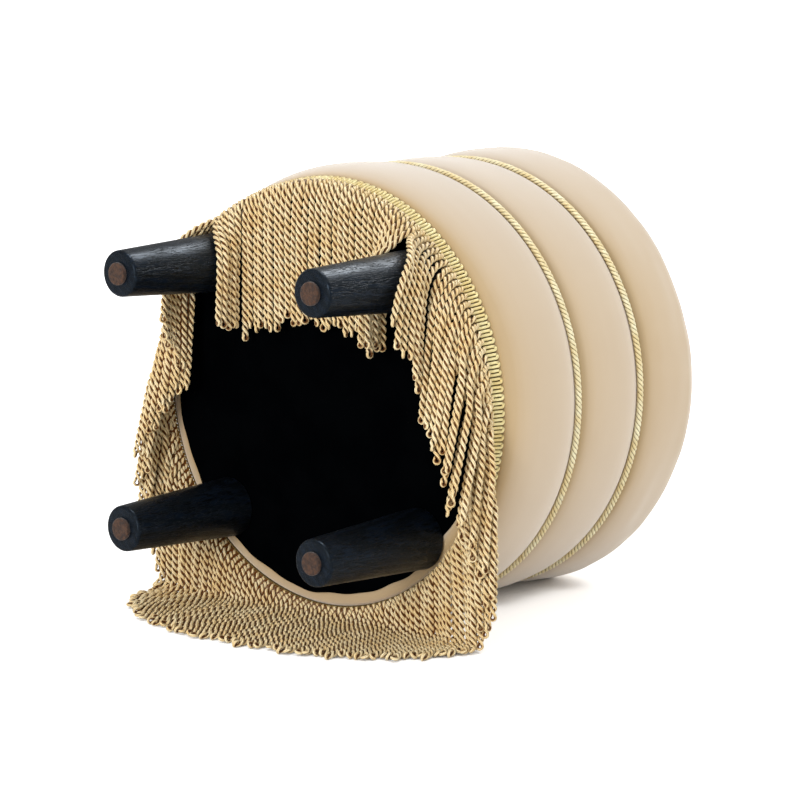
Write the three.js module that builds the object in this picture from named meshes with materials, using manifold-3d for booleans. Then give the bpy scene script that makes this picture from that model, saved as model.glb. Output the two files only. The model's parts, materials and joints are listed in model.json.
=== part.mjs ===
// A fringed velvet tuffet, lying on its side with its legs towards -Y.
// Millimetres, +Z up. The drum's axis runs along Y. Inside the group, y is measured
// from the drum's underside towards the seat, and z from the drum's axis.
import * as THREE from "three";
import { mergeVertices } from "three/addons/utils/BufferGeometryUtils.js";
import Module from "manifold-3d";

const wasm = await Module();
wasm.setup();

// Clearance between pieces that touch, and the run of a fused root into its backing
const gap = 0.3;
const foamClearance = 0.9;
const fuseDepth = 1.2;
const overrun = 2;

// Rolls of the drum, along the axis and across it
const lowerRollWidestAt = 62;
const lowerSeamAt = 117.5;
const upperSeamAt = 213.1;
const seatRollWidestAt = 278.6;
const crownAt = 338.5;
const middleRollRadius = 212.4;
const lowerRollSwell = 1.1;
const seatRollSwell = 3.5;
const seamDepth = 9;
const seamLand = 3.9;
const coverThickness = 2;
const pressedThickness = 1;
const restDepth = 1.9;

// Hem of the lower cover, turned under the drum, as insets from the seams
const bandInset = 2.8;
const bandAt = 14.5;
const hemCornerInset = 7.4;
const hemCornerAt = 2;
const hemOuterInset = 10.9;
const hemInnerInset = 22.4;

// Timber and board inside
const boardThickness = 18;
const seatBoardTopAt = 273;
const foamAtSeam = 14.2;
const wrapThickness = 3;
const postInset = 33;
const postWidth = 44;
const postDepth = 28;

// Legs, their fixings and pads
const legInset = 29.123;
const legLength = 143.4;
const legTopRadius = 28.5;
const legFootRadius = 21.5;
const legEdge = 1.5;
const boltRadius = 4;
const boltInLeg = 40;
const boltInDrum = 30;
const nutFlangeRadius = 11;
const nutFlangeThickness = 1.8;
const nutBarrelRadius = 5.4;
const nutBarrelLength = 10;
const padRadius = 11;
const padThickness = 3.5;

// Trim
const dustInset = 7;
const dustThickness = 1;
const ropeRadius = 3.3;

// Fringe: its woven heading and the twisted strands that hang from it
const headingThickness = 3.4;
const strandCount = 174;
const strandLength = 134;
const strandRadius = 3.3;
const strandSolidRadius = 2.4;
const strandSpacing = 6;
const rootRadius = 1;
const strandRise = 1.8;
const standOut = 17;
const bendOnFloor = 9;
const turnOnFloor = 30;
const legClearance = 1;
const floorClearance = 0.4;
const pileColumn = 5.5;
const pairLean = 0.8;
const strandStray = 2;
const strandLengthStray = 12;

// How far the strands stand out at the sides and run along the legs
const sideStandIn = 7;
const shoulderStandOut = 12;
const lowRightStandOut = 9;
const lowRightSwing = 9;
const lowLeftSwing = 9;
const legRuns = {
  rightOuter: { start: 38, more: 58, shorter: 10 },
  rightInner: { start: 18, more: 28, shorter: 0 },
  leftOuter: { start: 26, more: 40, shorter: 0 },
  leftInner: { start: 20, more: 36, shorter: 4 },
};

// Where round the drum the strands hang differently, as a middle and a spread in degrees
// of climb, from 90 at the top to -90 below
const pileAt = [16, 24];
const sideAt = [5, 22];
const shoulderAt = [36, 9];
const columnsAt = [8, 26];
const lowRightSwingAt = [-14, 22];
const lowLeftSwingAt = [-22, 24];
const lowLeftFanAt = [-38, 22];
const lowRightFrom = 14;
const lowSpan = 30;

// Shares of a strand's run: its lean off the pile under it, its spread on the floor
// and where it shifts sideways
const spillShare = 0.3;
const lowRightSpillLossShare = 0.9;
const fanShare = 0.22;
const lowLeftFanShare = 0.26;
const fanStrayShare = 0.03;
const shiftFromShare = 0.08;
const shiftSpanShare = 0.45;
const bendReachShare = 1.2092;

// Facets
const drumSegments = 40;
const legSegments = 24;
const smallSegments = 12;
const ropeSegments = 48;
const ropeSides = 5;
const strandSides = 3;
const routeSteps = 40;
const sliceSteps = 18;
const freeStops = [7, 17, 40];
const legStops = [5, 10, 15, 20, 27, 40];
const easePasses = 24;
const easeReach = 26;
const heldSteps = 6;
const rollFullness = 2.3;
const crownTurnShares = [0.17, 0.36, 0.58, 0.8];
const swellShares = [0.85, 0.5];
const foamSwellShares = [0.5];
const foamCrownTurnShares = [0.36, 0.8];

// Places worked out from the sizes above
const axisHeight = middleRollRadius - restDepth;
const flatAngle = Math.acos(axisHeight / middleRollRadius);
const lowerRollRadius = middleRollRadius + lowerRollSwell;
const seatRollRadius = middleRollRadius + seatRollSwell;
const seamRadius = middleRollRadius - seamDepth;
const bandRadius = seamRadius - bandInset;
const hemCornerRadius = seamRadius - hemCornerInset;
const hemOuterRadius = seamRadius - hemOuterInset;
const hemInnerRadius = seamRadius - hemInnerInset;
const dustRadius = hemOuterRadius - dustInset;
const ropeCircleRadius = seamRadius + gap + ropeRadius;
const foamInnerRadius = seamRadius - coverThickness - foamClearance - foamAtSeam;
const wrapOuterRadius = foamInnerRadius - gap;
const wrapInnerRadius = wrapOuterRadius - wrapThickness;
const postCircleRadius = wrapInnerRadius - postInset;
const legHalfSpacing = (hemCornerRadius - legInset) * Math.SQRT1_2;
const boardRadius = wrapInnerRadius - gap;
const boardAt = coverThickness + gap;
const boardTopAt = boardAt + boardThickness;
const seatBoardAt = seatBoardTopAt - boardThickness;
const legTopAt = -gap - dustThickness - gap;
const footAt = legTopAt - legLength;
const padEndAt = footAt - gap - padThickness;
const middleY = (crownAt + padEndAt) / 2;
const boltHoleRadius = boltRadius + gap;
const strandStartRadius = hemCornerRadius + gap + headingThickness / 2 + strandRise;
const strandStartAt = hemCornerAt - gap;
const rootCircleRadius = strandStartRadius - strandRise;
const strandFloor = strandRadius + floorClearance - axisHeight;

const colours = {
  velvet: 0xd9c6a4,
  foam: 0xe6dcb4,
  timber: 0xc6a878,
  board: 0xb99a6c,
  stain: 0x14161a,
  steel: 0x9a9c9e,
  cambric: 0x08090b,
  gold: 0xc2a972,
  felt: 0x4a3426,
};

const finish = (color, roughness, metalness = 0) =>
  new THREE.MeshStandardMaterial({ color, roughness, metalness });
const velvet = finish(colours.velvet, 0.9);
const foam = finish(colours.foam, 1);
const timber = finish(colours.timber, 0.7);
const board = finish(colours.board, 0.8);
const stainedAsh = finish(colours.stain, 0.45);
const steel = finish(colours.steel, 0.35, 1);
const cambric = finish(colours.cambric, 1);
const goldYarn = finish(colours.gold, 0.6);
const felt = finish(colours.felt, 1);

const tuffet = new THREE.Group();
tuffet.position.set(0, -middleY, axisHeight);

function add(name, geometry, material) {
  const mesh = new THREE.Mesh(geometry, material);
  mesh.name = name;
  tuffet.add(mesh);
  return mesh;
}

// Swell of a roll at a share of the way from its widest place to its edge
const swell = (share) => (1 - share ** rollFullness) ** (1 / rollFullness);

// Points of one flank of a roll, from its edge to just before its widest place
function flank(edgeRadius, edgeAt, widestRadius, widestAt, shares) {
  return [1, ...shares].map(
    (share) =>
      new THREE.Vector2(
        edgeRadius + (widestRadius - edgeRadius) * swell(share),
        widestAt + (edgeAt - widestAt) * share,
      ),
  );
}

// Outlines run from the underside towards the seat, drawn in by an inset
function lowerOutline(inset, shares = swellShares) {
  const widest = lowerRollRadius - inset;
  const edge = seamRadius - inset;
  return [
    new THREE.Vector2(hemInnerRadius, inset),
    new THREE.Vector2(hemOuterRadius - inset / 2, inset),
    new THREE.Vector2(hemCornerRadius - inset, hemCornerAt + inset / 2),
    ...flank(bandRadius - inset, bandAt, widest, lowerRollWidestAt, shares),
    new THREE.Vector2(widest, lowerRollWidestAt),
    ...flank(edge, lowerSeamAt - seamLand, widest, lowerRollWidestAt, shares).reverse(),
    new THREE.Vector2(edge, lowerSeamAt - gap / 2),
  ];
}

function middleOutline(inset, shares = swellShares) {
  const widestAt = (lowerSeamAt + upperSeamAt) / 2;
  const widest = middleRollRadius - inset;
  const edge = seamRadius - inset;
  return [
    new THREE.Vector2(edge, lowerSeamAt + gap / 2),
    ...flank(edge, lowerSeamAt + seamLand, widest, widestAt, shares),
    new THREE.Vector2(widest, widestAt),
    ...flank(edge, upperSeamAt - seamLand, widest, widestAt, shares).reverse(),
    new THREE.Vector2(edge, upperSeamAt - gap / 2),
  ];
}

function seatOutline(inset, shares = swellShares, turnShares = crownTurnShares) {
  const edge = seamRadius - inset;
  const widest = seatRollRadius - inset;
  const rise = crownAt - seatRollWidestAt - inset;
  return [
    new THREE.Vector2(edge, upperSeamAt + gap / 2),
    ...flank(edge, upperSeamAt + seamLand, widest, seatRollWidestAt, shares),
    new THREE.Vector2(widest, seatRollWidestAt),
    ...turnShares.map((share) => {
      const turn = (share * Math.PI) / 2;
      return new THREE.Vector2(
        widest * Math.cos(turn),
        seatRollWidestAt + rise * Math.sin(turn),
      );
    }),
    new THREE.Vector2(0, crownAt - inset),
  ];
}

// Part of an outline between two heights, closed at both by points on its line
function between(outline, from, to) {
  const at = (height) => {
    const next = outline.findIndex((point) => point.y >= height);
    const a = outline[next - 1];
    const b = outline[next];
    return a.clone().lerp(b, (height - a.y) / (b.y - a.y));
  };
  return [at(from), ...outline.filter((point) => point.y > from && point.y < to), at(to)];
}

// Turns a closed outline, with a cover's lining where it has one, round the drum's axis.
// Its lowest facet is as wide as the flat on which the rolls rest, and is pressed flat
// an inset above the floor.
function turned(outline, inset = 0, lining = []) {
  const halfFacet = Math.PI / drumSegments;
  const ring = [...outline, ...lining, outline[0]];
  const geometry = new THREE.LatheGeometry(ring, drumSegments, halfFacet);
  const place = geometry.attributes.position;
  for (let i = 0; i < place.count; i += 1) {
    const x = place.getX(i);
    const z = place.getZ(i);
    const radius = Math.hypot(x, z);
    const turn = Math.atan2(x, -z);
    const spread = (Math.PI - flatAngle) / (Math.PI - halfFacet);
    const point = i % ring.length;
    const onLining = point >= outline.length && point < ring.length - 1;
    const lift = onLining ? pressedThickness : inset;
    const moved = Math.sign(turn) * (flatAngle + (Math.abs(turn) - halfFacet) * spread);
    place.setX(i, radius * Math.sin(moved));
    place.setZ(i, Math.max(-radius * Math.cos(moved), lift - axisHeight));
  }
  return geometry;
}

// Outline of a plain ring or disc
function slab(innerRadius, outerRadius, from, to) {
  return [
    new THREE.Vector2(innerRadius, from),
    new THREE.Vector2(outerRadius, from),
    new THREE.Vector2(outerRadius, to),
    new THREE.Vector2(innerRadius, to),
  ];
}

function solidOf(geometry) {
  const bare = geometry.clone();
  bare.deleteAttribute("normal");
  bare.deleteAttribute("uv");
  const merged = mergeVertices(bare);
  return new wasm.Manifold(
    new wasm.Mesh({
      numProp: 3,
      vertProperties: merged.attributes.position.array,
      triVerts: new Uint32Array(merged.index.array),
    }),
  );
}

function geometryOf(solid) {
  const mesh = solid.getMesh();
  return new THREE.BufferGeometry()
    .setAttribute("position", new THREE.BufferAttribute(mesh.vertProperties, 3))
    .setIndex(new THREE.BufferAttribute(mesh.triVerts, 1));
}

// The outer skin of a solid, without the small pockets that crowded strands close off
function outerSkin(solid) {
  return solid.decompose().reduce((a, b) => (a.volume() > b.volume() ? a : b));
}

// Covers, foam and the frame inside
function addRolls() {
  const shells = [
    ["cover_lower", lowerOutline],
    ["cover_middle", middleOutline],
    ["cover_seat", seatOutline],
  ];
  for (const [name, outline] of shells) {
    const lining = outline(coverThickness, foamSwellShares, foamCrownTurnShares);
    add(name, turned(outline(0), 0, lining.reverse()), velvet);
  }
  const inset = coverThickness + foamClearance;
  const seat = seatOutline(inset, foamSwellShares, foamCrownTurnShares);
  const pads = [
    ["foam_lower", lowerOutline(inset, foamSwellShares).slice(1)],
    ["foam_middle", middleOutline(inset, foamSwellShares)],
    ["foam_seat_side", between(seat, upperSeamAt + gap, seatBoardTopAt)],
  ];
  for (const [name, outer] of pads) {
    const ring = [
      new THREE.Vector2(foamInnerRadius, outer[0].y),
      ...outer,
      new THREE.Vector2(foamInnerRadius, outer[outer.length - 1].y),
    ];
    add(name, turned(ring, inset), foam);
  }
  const crown = between(seat, seatBoardTopAt + gap, crownAt - inset);
  const dome = [new THREE.Vector2(0, seatBoardTopAt + gap), ...crown];
  add("foam_seat_crown", turned(dome, inset), foam);
}

// A round board with holes for the leg bolts, from one height to another
function drilledBoard(radius, holeRadius, from, to) {
  const length = to - from + 2 * overrun;
  let body = solidOf(turned(slab(0, radius, from, to)));
  for (const [x, z] of legPlaces()) {
    const hole = new THREE.CylinderGeometry(holeRadius, holeRadius, length, smallSegments);
    body = body.subtract(solidOf(hole.translate(x, (from + to) / 2, z)));
  }
  return geometryOf(body);
}

function legPlaces() {
  return [-1, 1].flatMap((x) => [-1, 1].map((z) => [x * legHalfSpacing, z * legHalfSpacing]));
}

function addFrame() {
  const nutHole = nutBarrelRadius + gap;
  add("base_board", drilledBoard(boardRadius, nutHole, boardAt, boardTopAt), board);
  add("seat_board", turned(slab(0, boardRadius, seatBoardAt, seatBoardTopAt)), board);
  add(
    "drum_wrap",
    turned(slab(wrapInnerRadius, wrapOuterRadius, boardAt, seatBoardTopAt)),
    board,
  );
  const postLength = seatBoardAt - boardTopAt - 2 * gap;
  const postCount = 6;
  for (let i = 0; i < postCount; i += 1) {
    const post = new THREE.BoxGeometry(postDepth, postLength, postWidth);
    const mesh = add("post_" + (i + 1), post, timber);
    const turn = (2 * Math.PI * i) / postCount;
    mesh.rotation.y = -turn;
    mesh.position.set(
      postCircleRadius * Math.cos(turn),
      (boardTopAt + seatBoardAt) / 2,
      postCircleRadius * Math.sin(turn),
    );
  }
}

// Legs with hanger bolts, tee nuts in the base board and a pad on each foot
function addLegs() {
  const boltFootAt = legTopAt - boltInLeg;
  const leg = [
    new THREE.Vector2(0, footAt),
    new THREE.Vector2(legFootRadius - legEdge, footAt),
    new THREE.Vector2(legFootRadius, footAt + legEdge),
    new THREE.Vector2(legTopRadius, legTopAt),
    new THREE.Vector2(boltHoleRadius, legTopAt),
    new THREE.Vector2(boltHoleRadius, boltFootAt - gap),
    new THREE.Vector2(0, boltFootAt - gap),
  ];
  const nut = [
    new THREE.Vector2(boltHoleRadius, boardTopAt - nutBarrelLength),
    new THREE.Vector2(nutBarrelRadius, boardTopAt - nutBarrelLength),
    new THREE.Vector2(nutBarrelRadius, boardTopAt + gap),
    new THREE.Vector2(nutFlangeRadius, boardTopAt + gap),
    new THREE.Vector2(nutFlangeRadius, boardTopAt + gap + nutFlangeThickness),
    new THREE.Vector2(boltHoleRadius, boardTopAt + gap + nutFlangeThickness),
  ];
  const boltLength = boltInDrum - boltFootAt;
  for (const [x, z] of legPlaces()) {
    const corner = (z > 0 ? "upper_" : "lower_") + (x > 0 ? "right" : "left");
    const legBody = new THREE.LatheGeometry(leg, legSegments);
    add("leg_" + corner, legBody, stainedAsh).position.set(x, 0, z);
    const nutBody = new THREE.LatheGeometry([...nut, nut[0]], smallSegments);
    add("tee_nut_" + corner, nutBody, steel).position.set(x, 0, z);
    const bolt = new THREE.CylinderGeometry(boltRadius, boltRadius, boltLength, smallSegments);
    const boltAt = boltFootAt + boltLength / 2;
    add("hanger_bolt_" + corner, bolt, steel).position.set(x, boltAt, z);
    const pad = new THREE.CylinderGeometry(padRadius, padRadius, padThickness, legSegments);
    add("foot_pad_" + corner, pad, felt).position.set(x, padEndAt + padThickness / 2, z);
  }
}

function addTrim() {
  const dust = drilledBoard(dustRadius, boltHoleRadius, -gap - dustThickness, -gap);
  add("dust_cover", dust, cambric);
  const ropes = [
    ["rope_trim_lower", lowerSeamAt],
    ["rope_trim_upper", upperSeamAt],
  ];
  for (const [name, seamAt] of ropes) {
    const rope = new THREE.TorusGeometry(
      ropeCircleRadius,
      ropeRadius,
      ropeSides,
      ropeSegments,
    ).rotateX(Math.PI / 2);
    add(name, rope, goldYarn).position.y = seamAt;
  }
}

// A repeatable number from -0.5 to 0.5 for a strand
function vary(strand, kind) {
  const value = Math.sin(strand * 12.9898 + kind * 78.233) * 43758.5453;
  return value - Math.floor(value) - 0.5;
}

function smooth(share) {
  const t = Math.min(Math.max(share, 0), 1);
  return t * t * (3 - 2 * t);
}

const bump = (value, [middle, spread]) => Math.exp(-(((value - middle) / spread) ** 2));

// How one strand hangs: its start, length, stand-out from the heading and sideways shifts
function strandManner(strand) {
  const turn = ((strand + 0.5) * 2 * Math.PI) / strandCount;
  const start = new THREE.Vector3(
    strandStartRadius * Math.cos(turn),
    strandStartAt,
    strandStartRadius * Math.sin(turn),
  );
  const side = Math.sign(start.x);
  const climb = THREE.MathUtils.radToDeg(Math.asin(Math.sin(turn)));
  const column = (strand % 3) - 1;
  const pair = strand % 2 === 0 ? -1 : 1;
  const low = side > 0 ? smooth((lowRightFrom - climb) / lowSpan) : smooth(-climb / lowSpan);
  const manner = {
    start,
    side,
    length: strandLength + strandLengthStray * vary(strand, 1),
    out: standOut - sideStandIn * bump(climb, sideAt),
    shift: side * pileColumn * column * bump(climb, columnsAt),
    spill: spillShare * bump(climb, pileAt),
    fan: fanShare,
  };
  manner.shift += strandStray * vary(strand, 3) + pairLean * pair;
  if (side > 0) {
    manner.out += shoulderStandOut * bump(climb, shoulderAt);
    manner.out += (lowRightStandOut - manner.out) * low;
    manner.spill *= 1 - lowRightSpillLossShare * low;
    manner.shift += lowRightSwing * low * bump(climb, lowRightSwingAt);
  } else {
    manner.shift -= lowLeftSwing * low * bump(climb, lowLeftSwingAt);
    manner.fan += lowLeftFanShare * bump(climb, lowLeftFanAt);
  }
  const across = Math.abs(start.x) - legHalfSpacing;
  const reach = legTopRadius + strandRadius + legClearance;
  manner.overLeg = start.z > 0 && Math.abs(across) < reach;
  if (manner.overLeg) {
    const run = legRuns[(side > 0 ? "right" : "left") + (across > 0 ? "Outer" : "Inner")];
    manner.out = run.start + run.more * (1 - Math.abs(across) / reach);
    manner.length -= run.shorter;
    manner.spill = 0;
    const fall = legHalfSpacing + Math.sign(across) * reach;
    const stray = Math.sign(across) * strandStray * vary(strand, 3);
    manner.shift = side * (fall + stray) - start.x;
  }
  manner.out += strandRadius * vary(strand, 2);
  manner.fan = (manner.fan * start.x) / legHalfSpacing + fanStrayShare * vary(strand, 4);
  return manner;
}

// Keeps a point of a strand off the nearest leg
function offLeg(point) {
  if (point.y < footAt) return;
  const share = Math.max(-point.y, 0) / legLength;
  const clear =
    legTopRadius + (legFootRadius - legTopRadius) * share + strandRadius + legClearance;
  const legX = Math.sign(point.x) * legHalfSpacing;
  const legZ = Math.sign(point.z) * legHalfSpacing;
  const distance = Math.hypot(point.x - legX, point.z - legZ);
  if (distance < clear) {
    point.x = legX + ((point.x - legX) * clear) / distance;
    point.z = legZ + ((point.z - legZ) * clear) / distance;
  }
}

// A strand's middle line, followed down from the heading in equal steps
function strandRoute(strand) {
  const manner = strandManner(strand);
  const step = manner.length / routeSteps;
  const bend = manner.out / bendReachShare;
  const shifted = (along) =>
    manner.shift * smooth((along / manner.length - shiftFromShare) / shiftSpanShare);
  const point = manner.start.clone();
  const route = [point.clone()];
  for (let k = 0; k < routeSteps; k += 1) {
    const along = (k + 0.5) * step;
    const level = manner.spill + (1 - manner.spill) / (1 + (along / bend) ** 3);
    const height = point.z - strandFloor;
    const falling =
      Math.sqrt(1 - level * level) * Math.min(Math.max(height / bendOnFloor, 0), 1);
    const running = Math.sqrt(1 - falling * falling);
    const fan = manner.fan * (1 - Math.min(Math.max(height / turnOnFloor, 0), 1));
    const heading = Math.hypot(fan, 1);
    point.x += (running * fan * step) / heading + shifted(along) - shifted(along - step);
    point.y -= (running * step) / heading;
    point.z -= falling * step;
    offLeg(point);
    point.z = Math.max(point.z, strandFloor);
    route.push(point.clone());
  }
  return { route, step, overLeg: manner.overLeg };
}

// Adds to the pushes that part two crowded routes, point by point
function partRoutes(a, b, pushA, pushB) {
  for (let i = 2; i < a.length; i += 1) {
    for (let j = 2; j < b.length; j += 1) {
      const x = b[j].x - a[i].x;
      const y = b[j].y - a[i].y;
      const z = b[j].z - a[i].z;
      const squared = x * x + y * y + z * z;
      if (squared >= strandSpacing * strandSpacing || squared === 0) continue;
      const distance = Math.sqrt(squared);
      const share = (strandSpacing - distance) / distance / 2;
      pushA[i].sum.add(new THREE.Vector3(-x, -y, -z).multiplyScalar(share));
      pushB[j].sum.add(new THREE.Vector3(x, y, z).multiplyScalar(share));
      pushA[i].count += 1;
      pushB[j].count += 1;
    }
  }
}

// Moves a route by its smoothed pushes and lays it on the legs, the floor and the underside
function settle(strand, pushes) {
  const { route, step } = strand;
  const moves = pushes.map(({ sum, count }) => sum.divideScalar(Math.max(count, 1)));
  const last = route.length - 1;
  for (let i = 1; i <= last; i += 1) {
    const move = moves[i]
      .clone()
      .multiplyScalar(2)
      .add(moves[i - 1])
      .add(moves[Math.min(i + 1, last)])
      .divideScalar(4);
    route[i].addScaledVector(move, smooth(i / heldSteps));
  }
  for (let i = 1; i <= last; i += 1) {
    const along = route[i].clone().sub(route[i - 1]).setLength(step);
    route[i].copy(route[i - 1]).add(along);
    offLeg(route[i]);
    route[i].z = Math.max(route[i].z, strandFloor);
    if (i > 1) route[i].y = Math.min(route[i].y, -strandRadius - floorClearance);
  }
}

// All the strands, eased apart where they crowd
function easedStrands() {
  const strands = Array.from({ length: strandCount }, (_, k) => strandRoute(k));
  for (let pass = 0; pass < easePasses; pass += 1) {
    const pushes = strands.map(({ route }) =>
      route.map(() => ({ sum: new THREE.Vector3(), count: 0 })),
    );
    for (let i = 0; i < strandCount; i += 1) {
      for (let k = 1; k <= easeReach; k += 1) {
        const j = (i + k) % strandCount;
        partRoutes(strands[i].route, strands[j].route, pushes[i], pushes[j]);
      }
    }
    strands.forEach((strand, i) => settle(strand, pushes[i]));
  }
  return strands;
}

// A closed tube of a few sides through the points of a route
function strandTube(points) {
  const place = [];
  points.forEach((point, i) => {
    const radius = i === 0 ? rootRadius : strandSolidRadius;
    const before = points[Math.max(i - 1, 0)];
    const after = points[Math.min(i + 1, points.length - 1)];
    const along = after.clone().sub(before).normalize();
    const across = new THREE.Vector3(1, 0, 0).addScaledVector(along, -along.x).normalize();
    const third = along.clone().cross(across);
    for (let k = 0; k < strandSides; k += 1) {
      const turn = (2 * Math.PI * k) / strandSides;
      const corner = point
        .clone()
        .addScaledVector(across, radius * Math.cos(turn))
        .addScaledVector(third, radius * Math.sin(turn));
      place.push(corner.x, corner.y, corner.z);
    }
  });
  const faces = [];
  for (let i = 0; i < points.length - 1; i += 1) {
    for (let k = 0; k < strandSides; k += 1) {
      const a = i * strandSides + k;
      const b = i * strandSides + ((k + 1) % strandSides);
      faces.push(a, b, a + strandSides, b, b + strandSides, a + strandSides);
    }
  }
  const last = (points.length - 1) * strandSides;
  for (let k = 1; k < strandSides - 1; k += 1) {
    faces.push(0, k + 1, k, last, last + k, last + k + 1);
  }
  return new THREE.BufferGeometry()
    .setAttribute("position", new THREE.Float32BufferAttribute(place, 3))
    .setIndex(faces);
}

// A slice of the woven heading, from one strand to another, lying on the hem
function headingSlice(firstStrand, lastStrand) {
  const low = new THREE.Vector2(hemCornerRadius, hemCornerAt);
  const high = new THREE.Vector2(bandRadius, bandAt);
  const along = high.clone().sub(low).normalize();
  const outward = new THREE.Vector2(along.y, -along.x);
  const corners = [
    low.clone().addScaledVector(outward, gap),
    low.clone().addScaledVector(outward, gap + headingThickness),
    high.clone().addScaledVector(outward, gap + headingThickness),
    high.clone().addScaledVector(outward, gap),
  ];
  const clear = gap / 2 / strandStartRadius;
  const from = (firstStrand * 2 * Math.PI) / strandCount + clear;
  const to = (lastStrand * 2 * Math.PI) / strandCount - clear;
  const place = [];
  const faces = [];
  const count = corners.length;
  for (let i = 0; i <= sliceSteps; i += 1) {
    const turn = from + ((to - from) * i) / sliceSteps;
    for (const corner of corners) {
      place.push(corner.x * Math.cos(turn), corner.y, corner.x * Math.sin(turn));
    }
    for (let k = 0; k < count && i < sliceSteps; k += 1) {
      const a = i * count + k;
      const b = i * count + ((k + 1) % count);
      faces.push(a, b, a + count, b, b + count, a + count);
    }
  }
  const last = sliceSteps * count;
  faces.push(0, 2, 1, 0, 3, 2, last, last + 1, last + 2, last, last + 2, last + 3);
  return new THREE.BufferGeometry()
    .setAttribute("position", new THREE.Float32BufferAttribute(place, 3))
    .setIndex(faces);
}

// The fringe in four slices, parted over the legs, each with its strands fused to its heading
function addFringe() {
  const slices = ["right", "top", "left", "bottom"];
  const perSlice = strandCount / slices.length;
  const strands = easedStrands();
  slices.forEach((name, i) => {
    const first = Math.round((i - 0.5) * perSlice);
    const last = Math.round((i + 0.5) * perSlice);
    let body = solidOf(headingSlice(first, last));
    for (let k = first; k < last; k += 1) {
      const { route, overLeg } = strands[(k + strandCount) % strandCount];
      const root = route[0].clone();
      root.x *= rootCircleRadius / strandStartRadius;
      root.z *= rootCircleRadius / strandStartRadius;
      root.y += fuseDepth;
      const points = (overLeg ? legStops : freeStops).map((stop) => route[stop]);
      body = body.add(solidOf(strandTube([root, ...points])));
    }
    add("fringe_" + name, geometryOf(outerSkin(body)), goldYarn);
  });
}

addRolls();
addFrame();
addLegs();
addTrim();
addFringe();

export default tuffet;
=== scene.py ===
# %% [markdown]
# # A fringed velvet tuffet, lying on its side
# This lesson dresses a construction model with the looks of the real thing: padded velvet rolls,
# twisted rope in the seams, a bullion fringe of looped cords, black stained legs and felt pads.
# The construction model comes first, and fixes where the pieces are and how large they are.

# %% Load the construction model
import json
import math
from functools import partial

import bpy
import numpy as np
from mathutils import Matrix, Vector

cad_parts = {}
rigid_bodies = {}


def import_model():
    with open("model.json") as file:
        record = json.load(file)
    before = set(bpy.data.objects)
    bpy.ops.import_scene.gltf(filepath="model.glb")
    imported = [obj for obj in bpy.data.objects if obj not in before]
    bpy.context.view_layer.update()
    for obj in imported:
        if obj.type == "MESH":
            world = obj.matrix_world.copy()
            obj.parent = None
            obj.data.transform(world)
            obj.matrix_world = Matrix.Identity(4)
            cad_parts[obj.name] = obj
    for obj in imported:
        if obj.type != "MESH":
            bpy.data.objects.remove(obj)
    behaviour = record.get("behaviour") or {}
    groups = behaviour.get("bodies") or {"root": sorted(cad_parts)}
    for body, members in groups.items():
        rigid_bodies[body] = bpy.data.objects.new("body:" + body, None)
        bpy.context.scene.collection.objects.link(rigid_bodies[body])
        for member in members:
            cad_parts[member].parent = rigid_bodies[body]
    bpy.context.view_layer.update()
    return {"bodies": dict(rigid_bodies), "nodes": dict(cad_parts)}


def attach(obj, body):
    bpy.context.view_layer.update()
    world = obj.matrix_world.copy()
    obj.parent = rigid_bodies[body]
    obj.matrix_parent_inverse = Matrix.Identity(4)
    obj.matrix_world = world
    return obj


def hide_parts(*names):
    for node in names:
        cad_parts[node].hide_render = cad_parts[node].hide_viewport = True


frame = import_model()
BODY = sorted(frame["bodies"])[0]
print("pieces of the construction model:", len(frame["nodes"]), "on the body", BODY)

# %% [markdown]
# ## The camera
# The photograph was taken from low down, with the legs towards the viewer. A camera aimed with
# `to_track_quat` keeps the horizon level. The lens is long, so the drum hardly tapers.

# %% Camera
CAMERA_PLACE = Vector((1.8009, -2.0971, 0.6255))
CAMERA_TARGET = Vector((0.0938, -0.09485, 0.2167))


def in_scene(name, data):
    """A new object in the scene that holds the data."""
    thing = bpy.data.objects.new(name, data)
    bpy.context.scene.collection.objects.link(thing)
    return thing


def aim(thing, place, target):
    """Puts a camera or a lamp at a place and turns it to a target."""
    thing.location = place
    thing.rotation_euler = (Vector(target) - Vector(place)).to_track_quat("-Z", "Y").to_euler()


camera_data = bpy.data.cameras.new("camera")
camera_data.sensor_width = 36
camera_data.lens = 132.44
camera = in_scene("camera", camera_data)
aim(camera, CAMERA_PLACE, CAMERA_TARGET)
bpy.context.scene.camera = camera
print("camera", round((CAMERA_TARGET - CAMERA_PLACE).length, 3), "m from what it looks at")

# %% [markdown]
# ## Where things are
# The tuffet is round, so its pieces are easiest to place by three numbers: how far they are from the
# drum's axis, how far round it, and how far along it from the underside towards the seat. The axis
# lies along Y, the underside faces -Y and the floor is at height zero. The shape work is done in
# millimetres round the axis, and `to_metres` brings the result into the scene.

# %% Drum coordinates
GAP = 0.3
UNDERSIDE_Y = -94.85
AXIS_HEIGHT = 210.5


def to_metres(points):
    """Drum coordinates (across, along the axis, up from the axis) in mm to scene metres."""
    return (np.asarray(points, float) + (0.0, UNDERSIDE_Y, AXIS_HEIGHT)) / 1000


def round_drum(radius, along, turn):
    """Drum coordinates of points a radius out and a turn round, from +X towards the top."""
    radius, along, turn = np.broadcast_arrays(radius, along, turn)
    return np.stack([radius * np.cos(turn), along, radius * np.sin(turn)], axis=-1)


def full_turn(steps):
    """Evenly spaced turns that go once round, without the last, which would be the first."""
    return np.linspace(0, 2 * math.pi, steps, endpoint=False)


def turned(profile, turn):
    """An outline of (radius, along) turned round the axis: one row for each turn."""
    return round_drum(profile[None, :, 0], profile[None, :, 1], turn[:, None])


# %% [markdown]
# ## Meshes from arrays
# Turned pieces are grids of points: one row for each place round the drum, one column for each
# point of the outline. `grid_faces` joins neighbours into quads. The order of a quad's corners
# decides which way it faces, so each mesh's volume is measured: a negative one is inside out.

# %% Mesh helpers


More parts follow.
